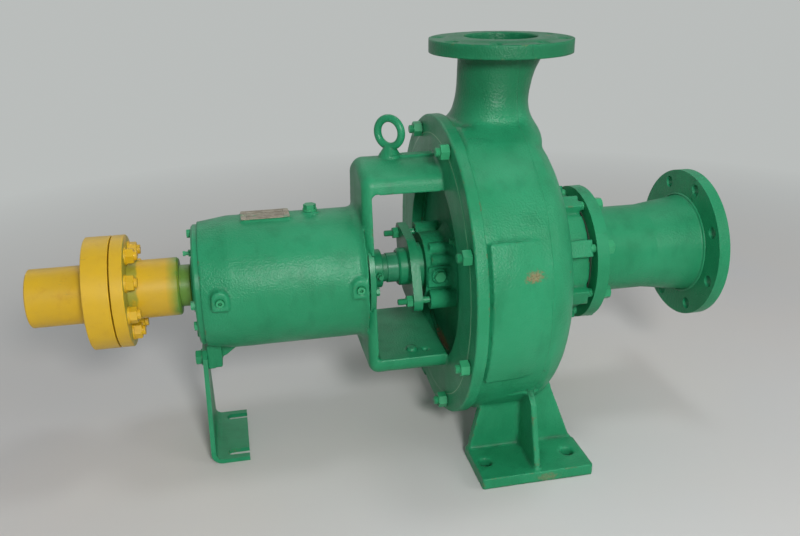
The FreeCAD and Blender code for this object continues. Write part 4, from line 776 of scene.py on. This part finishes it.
@dataclass
class CastSkin:
    """Casting with the fillets and uneven skin that a sand mould leaves."""

    pump: Pump
    node: str
    finish: bpy.types.Material
    depth: int = 8
    fillet_rounds: int = 10
    wave: float = 0.00028
    wave_length: float = 0.026
    most_faces: int = 180000
    reshape: Callable[[Vector, Vector], float] = field(default=lambda place, normal: 0.0)
    soft_spots: tuple[tuple[Vector, float], ...] = ()

    def hollows(self, bm: bmesh.types.BMesh, rings: int) -> list[bmesh.types.BMVert]:
        """Points in or near an inner corner.

        Args:
            bm: Evenly meshed casting.
            rings: How far the corner reaches, in mesh steps.

        Returns:
            The points.
        """
        found = set()
        for edge in bm.edges:
            if len(edge.link_faces) == 2 and edge.calc_face_angle_signed(0.0) < -0.20:
                found.update(edge.verts)
        for _ in range(rings):
            wider = set(found)
            for vertex in found:
                wider.update(edge.other_vert(vertex) for edge in vertex.link_edges)
            found = wider
        return list(found)

    def build(self) -> bpy.types.Object:
        """Mesh the node evenly, round its inner corners and ripple its skin."""
        piece = self.pump.merged_copy(self.node, self.node + "_cast")
        low = Vector([min(v.co[k] for v in piece.data.vertices) for k in range(3)])
        high = Vector([max(v.co[k] for v in piece.data.vertices) for k in range(3)])
        remesh = piece.modifiers.new("even", "REMESH")
        remesh.mode = "SHARP"
        remesh.octree_depth = self.depth
        remesh.scale = 0.99
        remesh.sharpness = 1.0
        remesh.use_remove_disconnected = False
        through_modifiers(piece)
        bm = bmesh.new()
        bm.from_mesh(piece.data)
        soften(bm, self.hollows(bm, 2), 0.5, self.fillet_rounds)
        worn = [v for v in bm.verts
                if any((v.co - spot).length < reach for spot, reach in self.soft_spots)]
        soften(bm, worn, 0.5, self.fillet_rounds)
        soften(bm, list(bm.verts), 0.35, 1)
        bm.normal_update()
        for vertex in bm.verts:
            away = Vector((0.0, vertex.co.y, vertex.co.z - SHAFT_Z))
            if away.length > 0.2:
                vertex.co += away.normalized() * self.reshape(vertex.co, vertex.normal)
        bm.normal_update()
        for vertex in bm.verts:
            swell = noise.noise(vertex.co / self.wave_length)
            fine = noise.noise(vertex.co / (self.wave_length * 0.27) + Vector((7.0, 3.0, 1.0)))
            moved = vertex.co + vertex.normal * (self.wave * swell + self.wave * 0.35 * fine)
            vertex.co = [min(max(moved[k], low[k]), high[k]) for k in range(3)]
        bm.to_mesh(piece.data)
        bm.free()
        count = sum(len(polygon.vertices) - 2 for polygon in piece.data.polygons)
        if count > self.most_faces:
            thin = piece.modifiers.new("thin", "DECIMATE")
            thin.ratio = self.most_faces / count
            through_modifiers(piece)
        piece.data.shade_smooth()
        store_crease(piece.data)
        return self.pump.add(piece, Body.STAND, Slot.GREEN, self.finish, self.node)


def smooth_step(value: float, low: float, high: float) -> float:
    """Nought before low, one after high, smooth between; low may be the larger."""
    share = min(1.0, max(0.0, (value - low) / (high - low)))
    return share * share * (3.0 - 2.0 * share)


def casing_swell(place: Vector, normal: Vector) -> float:
    """How far the near side of the casing stands out from its plain form.

    Args:
        place: Point of the casing.
        normal: Normal there; the inner walls, which face the shaft line, stay.

    Returns:
        Distance away from the shaft line.
    """
    height = place.z - SHAFT_Z
    radius = math.hypot(place.y, height)
    angle = math.degrees(math.atan2(-place.y, height))
    swell = 0.0
    if 50.0 < angle < 130.0 and radius > DRUM_R:
        swell -= (radius - DRUM_R) * smooth_step(place.x, -0.055, 0.004) * 0.95
    if 10.0 < angle < 50.0 and -0.0930 < place.x < 0.06 and radius < 0.302:
        facing = (normal.y * place.y + normal.z * height) / radius
        shoulder = 0.2682 / math.cos(math.radians(angle - 25.0))
        brow = 0.2617 / math.cos(math.radians(angle - 37.6))
        form = max(DRUM_R, min(shoulder, brow)) if angle < 36.0 else DRUM_R
        share = smooth_step(angle, 9.5, 17.5) * smooth_step(angle, 42.0, 36.0)
        share *= smooth_step(place.x, -0.0925, -0.0890) * smooth_step(place.x, 0.045, 0.005)
        share *= smooth_step(facing, 0.1, 0.4) * smooth_step(radius, 0.302, 0.278)
        swell += (form - radius) * share
    return swell


@dataclass
class Castings:
    """All cast and forged pieces that carry the thick enamel."""

    pump: Pump
    boss_places: tuple[float, float] = (-0.500, -0.270)

    def build(self) -> None:
        """Build the skins."""
        palette = self.pump.palette
        CastSkin(self.pump, "volute_casing", palette.casing, reshape=casing_swell).build()
        bosses = tuple((Vector((x, -0.119, SHAFT_Z + 0.009)), 0.027) for x in self.boss_places)
        leg_boss = tuple((Vector((-0.508, y, 0.161)), 0.013) for y in (-0.024, -0.008, 0.008, 0.024))
        CastSkin(self.pump, "bearing_bracket", palette.bracket, soft_spots=bosses + leg_boss).build()
        CastSkin(self.pump, "casing_cover", palette.casting, most_faces=120000).build()
        CastSkin(self.pump, "eye_bolt", palette.turned, depth=6, fillet_rounds=2, wave=0.0001,
                 wave_length=0.012, most_faces=40000).build()


# Studs and pins with their threads


@dataclass
class Threads:
    """Studs, threaded where the thread shows."""

    pump: Pump
    stud_circle: float = 0.249
    gland_circle: float = 0.074

    def stud(self, start: float, thread_end: float, end: float, radius: float, circle: float,
             angles: Iterable[float]) -> bmesh.types.BMesh:
        """Studs along X on a circle round the shaft line."""
        profile = thread_profile(0.0, thread_end - start, radius)[:-1]
        profile += [(end - start, radius), (end - start, 0.0)]
        single = spun_part(profile, SHAFT_LINE + Vector((start, 0.0, circle)), Vector((1.0, 0.0, 0.0)))
        return around_shaft(single, angles)

    def build(self) -> None:
        """Build both sets."""
        green = self.pump.palette.fastener
        eight = [22.5 + 45.0 * k for k in range(8)]
        casing = close_piece("casing_stud_threads", self.stud(-0.1387, -0.117, -0.0625, 0.008,
                                                              self.stud_circle, eight))
        self.pump.add(casing, Body.STAND, Slot.GREEN, green, "casing_studs")
        gland = close_piece("gland_stud_threads", self.stud(-0.196, -0.150, -0.105, 0.006,
                                                            self.gland_circle, (127.0, 307.0)))
        self.pump.add(gland, Body.STAND, Slot.GREEN, green, "gland_studs")


@dataclass
class SpoolWelds:
    """Weld beads that join the spool's pipe to its two flanges."""

    pump: Pump
    pipe_radius: float = 0.0795
    near_flange: float = 0.1723
    far_flange: float = 0.3754
    bead: float = 0.0045

    def bead_ring(self, x: float, side: float, radius: float) -> bmesh.types.BMesh:
        """One rippled bead round the pipe; side is the way it leans from the flange."""
        size = self.bead if side > 0 else self.bead * 0.5
        outline = ((0.0, 0.0), (0.2, 0.95), (0.7, 0.7), (1.15, 0.25), (1.3, -0.3), (0.0, -0.3))
        profile = [(x + side * size * along, radius + size * out) for along, out in outline]
        bm = revolve(profile, 240)
        for vertex in bm.verts:
            turn = math.atan2(vertex.co.y, vertex.co.z - SHAFT_Z)
            ripple = 1.0 + 0.012 * math.sin(turn * 78.0) + 0.006 * noise.noise(Vector((turn * 9.0, 0.0, x * 50)))
            away = vertex.co - Vector((vertex.co.x, 0.0, SHAFT_Z))
            if away.length > radius:
                vertex.co = Vector((vertex.co.x, 0.0, SHAFT_Z)) + away * (1.0 + (ripple - 1.0) * 0.5)
        return bm

    def build(self) -> None:
        """Build both beads."""
        beads = (("spool_weld_inner", self.near_flange, 1.0, self.pipe_radius + 0.004),
                 ("spool_weld_outer", self.far_flange, -1.0, self.pipe_radius + 0.0148))
        for name, x, side, radius in beads:
            piece = close_piece(name, self.bead_ring(x, side, radius), 60.0)
            self.pump.add(piece, Body.STAND, Slot.GREEN, self.pump.palette.turned)


@dataclass
class Nameplate:
    """Raised frame and ruled fields on the bare plate."""

    pump: Pump
    left: float = -0.4515
    right: float = -0.3765
    half: float = 0.0212
    top: float = SHAFT_Z + 0.1182
    line: float = 0.0007
    rise: float = 0.00025

    def bar(self, bm: bmesh.types.BMesh, x0: float, x1: float, y0: float, y1: float) -> None:
        """One raised line."""
        made = bmesh.ops.create_cube(bm, size=1.0)
        size = Matrix.Diagonal((x1 - x0, y1 - y0, self.rise * 2, 1.0))
        place = Matrix.Translation(((x0 + x1) / 2, (y0 + y1) / 2, self.top))
        bmesh.ops.transform(bm, matrix=place @ size, verts=made["verts"])

    def build(self) -> None:
        """Build the frame and the rules."""
        bm = bmesh.new()
        inner = 0.006
        x0, x1, w = self.left + inner, self.right - inner, self.line
        for y in (-self.half + 0.002, self.half - 0.002 - w):
            self.bar(bm, x0, x1, y, y + w)
        for x in (x0, x1 - w):
            self.bar(bm, x, x + w, -self.half + 0.002, self.half - 0.002)
        for row in (-0.0105, -0.002, 0.0065):
            self.bar(bm, x0 + 0.002, x1 - 0.002, row, row + w * 0.7)
        self.bar(bm, x0 + 0.030, x0 + 0.030 + w * 0.7, -0.0105, 0.0065)
        piece = close_piece("nameplate_rules", bm)
        self.pump.add(piece, Body.STAND, Slot.PLATE, self.pump.palette.rules)


# Nodes that keep their CAD shape


def dress_nodes(pump: Pump) -> None:
    """Give every carried-over node its finish."""
    p = pump.palette
    pump.dress(p.spool, "suction_spool")
    pump.dress(p.turned, "drive_end_cover", "pump_end_cover", "gland_follower")
    pump.dress(p.fastener, "casing_drain_plug", "suction_spool_bolts", "cover_jacking_screws",
               "seal_water_plug", "gland_nuts", "casing_nuts", "filler_plug", "oil_plugs",
               "drive_end_cover_bolts", "drive_end_cover_plug", "drive_end_nipple",
               "pump_end_cover_bolts", "pump_end_nipple", "support_leg_bolt")
    pump.dress(p.leg, "support_leg")
    pump.dress(p.motor_yellow, "motor_half_coupling", "coupling_pins", "coupling_pin_nuts")
    pump.dress(p.pump_yellow, "pump_half_coupling")
    pump.dress(p.collar, "shaft_collar")
    pump.dress(p.sleeve, "shaft_sleeve")
    pump.dress(p.iron, "casing_wear_ring", "impeller")
    pump.dress(p.bronze, "throat_bush", "lantern_ring")
    pump.dress(p.steel, "drive_end_outer_ring", "drive_end_inner_ring", "drive_end_balls",
               "pump_end_outer_ring", "pump_end_inner_ring", "pump_end_balls", "bearing_lock_nut",
               "impeller_key", "coupling_key", "impeller_nut")
    pump.dress(p.shaft, "pump_shaft")
    pump.dress(p.cage, "drive_end_cage", "pump_end_cage")
    pump.dress(p.packing, "rear_packing_rings", "front_packing_ring")
    pump.dress(p.gasket, "suction_gasket", "cover_gasket")
    pump.dress(p.rubber, "coupling_bushes")
    pump.dress(p.plate, "nameplate", "nameplate_pins")


# Camera, light and floor


@dataclass
class Studio:
    """Camera at the photograph's angle, soft light and a pale floor."""

    camera_place: Vector = field(default_factory=lambda: Vector((-0.4626, -1.3471, 0.8484)))
    yaw: float = 11.9
    pitch: float = -21.3
    roll: float = -0.7
    focal_px: float = 811.4
    floor_colour: Colour = (0.66, 0.63, 0.60)

    def camera(self) -> None:
        """Place the camera."""
        yaw, pitch, roll = (math.radians(a) for a in (self.yaw, self.pitch, self.roll))
        ahead = Vector((math.sin(yaw) * math.cos(pitch), math.cos(yaw) * math.cos(pitch), math.sin(pitch)))
        right = Vector((math.cos(yaw), -math.sin(yaw), 0.0))
        up = right.cross(ahead)
        right, up = (right * math.cos(roll) + up * math.sin(roll), up * math.cos(roll) - right * math.sin(roll))
        data = bpy.data.cameras.new("camera")
        data.sensor_fit = "HORIZONTAL"
        data.sensor_width = SENSOR_MM
        data.lens = self.focal_px / PHOTO_WIDTH * SENSOR_MM
        data.clip_start, data.clip_end = 0.05, 60.0
        holder = bpy.data.objects.new("camera", data)
        turn = Matrix((right, up, -ahead)).transposed().to_4x4()
        holder.matrix_world = Matrix.Translation(self.camera_place) @ turn
        bpy.context.scene.collection.objects.link(holder)
        bpy.context.scene.camera = holder

    def lamp(self, name: str, place: Vector, target: Vector, size: float, power: float,
             colour: Colour = (1.0, 1.0, 1.0)) -> None:
        """Add one area lamp.

        Args:
            name: Name of the lamp.
            place: Where it stands.
            target: Point that it faces.
            size: Side of its square.
            power: Power in watts.
            colour: Light colour.
        """
        data = bpy.data.lights.new(name, "AREA")
        data.shape, data.size, data.energy, data.color = "DISK", size, power, colour
        holder = bpy.data.objects.new(name, data)
        holder.location = place
        holder.rotation_mode = "QUATERNION"
        holder.rotation_quaternion = (target - place).to_track_quat("-Z", "Y")
        bpy.context.scene.collection.objects.link(holder)

    def light(self) -> None:
        """Key beside the camera, a wide fill, a weak back light and a pale sky."""
        middle = Vector((-0.1, 0.0, 0.32))
        self.lamp("key", Vector((-0.15, -2.1, 1.35)), middle, 0.45, 34.0)
        self.lamp("fill", Vector((2.2, -1.4, 1.5)), middle, 1.4, 12.0)
        self.lamp("back", Vector((-0.6, 2.2, 2.4)), middle, 2.0, 7.0)
        self.lamp("ceiling", Vector((0.45, 0.05, 2.5)), middle, 0.5, 7.0, (0.90, 0.97, 1.0))
        world = bpy.data.worlds.new("studio")
        bpy.context.scene.world = world
        world.use_nodes = True
        nodes, links = world.node_tree.nodes, world.node_tree.links
        sky = nodes["Background"]
        sky.inputs["Color"].default_value = (0.94, 0.97, 1.0, 1.0)
        sky.inputs["Strength"].default_value = 0.30
        seen = nodes.new("ShaderNodeBackground")
        seen.inputs["Strength"].default_value = 1.0
        way = nodes.new("ShaderNodeSeparateXYZ")
        links.new(nodes.new("ShaderNodeTexCoord").outputs["Generated"], way.inputs[0])
        back = nodes.new("ShaderNodeMapRange")
        back.inputs["From Min"].default_value = -0.7
        back.inputs["From Max"].default_value = 0.5
        links.new(way.outputs["Y"], back.inputs["Value"])
        tint = nodes.new("ShaderNodeMix")
        tint.data_type = "RGBA"
        tint.inputs[6].default_value = (0.16, 0.165, 0.17, 1.0)
        tint.inputs[7].default_value = (*WALL_COLOUR, 1.0)
        links.new(back.outputs["Result"], tint.inputs["Factor"])
        links.new(tint.outputs[2], seen.inputs["Color"])
        wall = nodes.new("ShaderNodeBackground")
        wall.inputs["Color"].default_value = (*WALL_COLOUR, 1.0)
        path = nodes.new("ShaderNodeLightPath")
        mirrored = nodes.new("ShaderNodeMixShader")
        links.new(path.outputs["Is Glossy Ray"], mirrored.inputs["Fac"])
        links.new(sky.outputs[0], mirrored.inputs[1])
        links.new(seen.outputs[0], mirrored.inputs[2])
        blend = nodes.new("ShaderNodeMixShader")
        links.new(path.outputs["Is Camera Ray"], blend.inputs["Fac"])
        links.new(mirrored.outputs[0], blend.inputs[1])
        links.new(wall.outputs[0], blend.inputs[2])
        links.new(blend.outputs[0], nodes["World Output"].inputs["Surface"])

    def floor(self) -> None:
        """Wide plain floor under the feet."""
        bm = bmesh.new()
        bmesh.ops.create_grid(bm, x_segments=8, y_segments=8, size=20.0)
        mesh = bpy.data.meshes.new("floor")
        bm.to_mesh(mesh)
        bm.free()
        piece = empty_piece("floor", mesh)
        s = Shader("pale floor")
        s.constant(Specular_IOR_Level=0.2, Roughness=0.9)
        tone = s.mix(s.between(s.noise(1.3, 3.0), 0.35, 0.65), self.floor_colour, (0.64, 0.63, 0.62))
        finish = s.finish(tone, None, None)
        # far off, where no shadow falls, the floor passes into the pale wall
        wall = s.node("ShaderNodeEmission")
        wall.inputs["Color"].default_value = (*WALL_COLOUR, 1.0)
        path = s.node("ShaderNodeLightPath")
        shown = s.maths("MAXIMUM", path.outputs["Is Camera Ray"], path.outputs["Is Glossy Ray"])
        reach = s.node("ShaderNodeVectorMath", operation="LENGTH")
        s.join(s.place, reach.inputs[0])
        far = s.maths("MULTIPLY", s.between(reach.outputs["Value"], 0.9, 2.3), shown)
        blend = s.node("ShaderNodeMixShader")
        s.join(far, blend.inputs["Fac"])
        s.join(s.surface.outputs[0], blend.inputs[1])
        s.join(wall.outputs[0], blend.inputs[2])
        s.join(blend.outputs[0], s.nodes["Material Output"].inputs["Surface"])
        mesh.materials.append(finish)

    def build(self) -> None:
        """Set up the studio."""
        self.camera()
        self.light()
        self.floor()
        bpy.context.scene.view_settings.view_transform = "Standard"


def main() -> None:
    """Build the pump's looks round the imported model."""
    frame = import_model()
    Studio().build()
    pump = Pump(frame, Palette.build())
    dress_nodes(pump)
    Castings(pump).build()
    Threads(pump).build()
    SpoolWelds(pump).build()
    Nameplate(pump).build()
    bpy.context.view_layer.update()


if __name__ == "__main__":
    main()
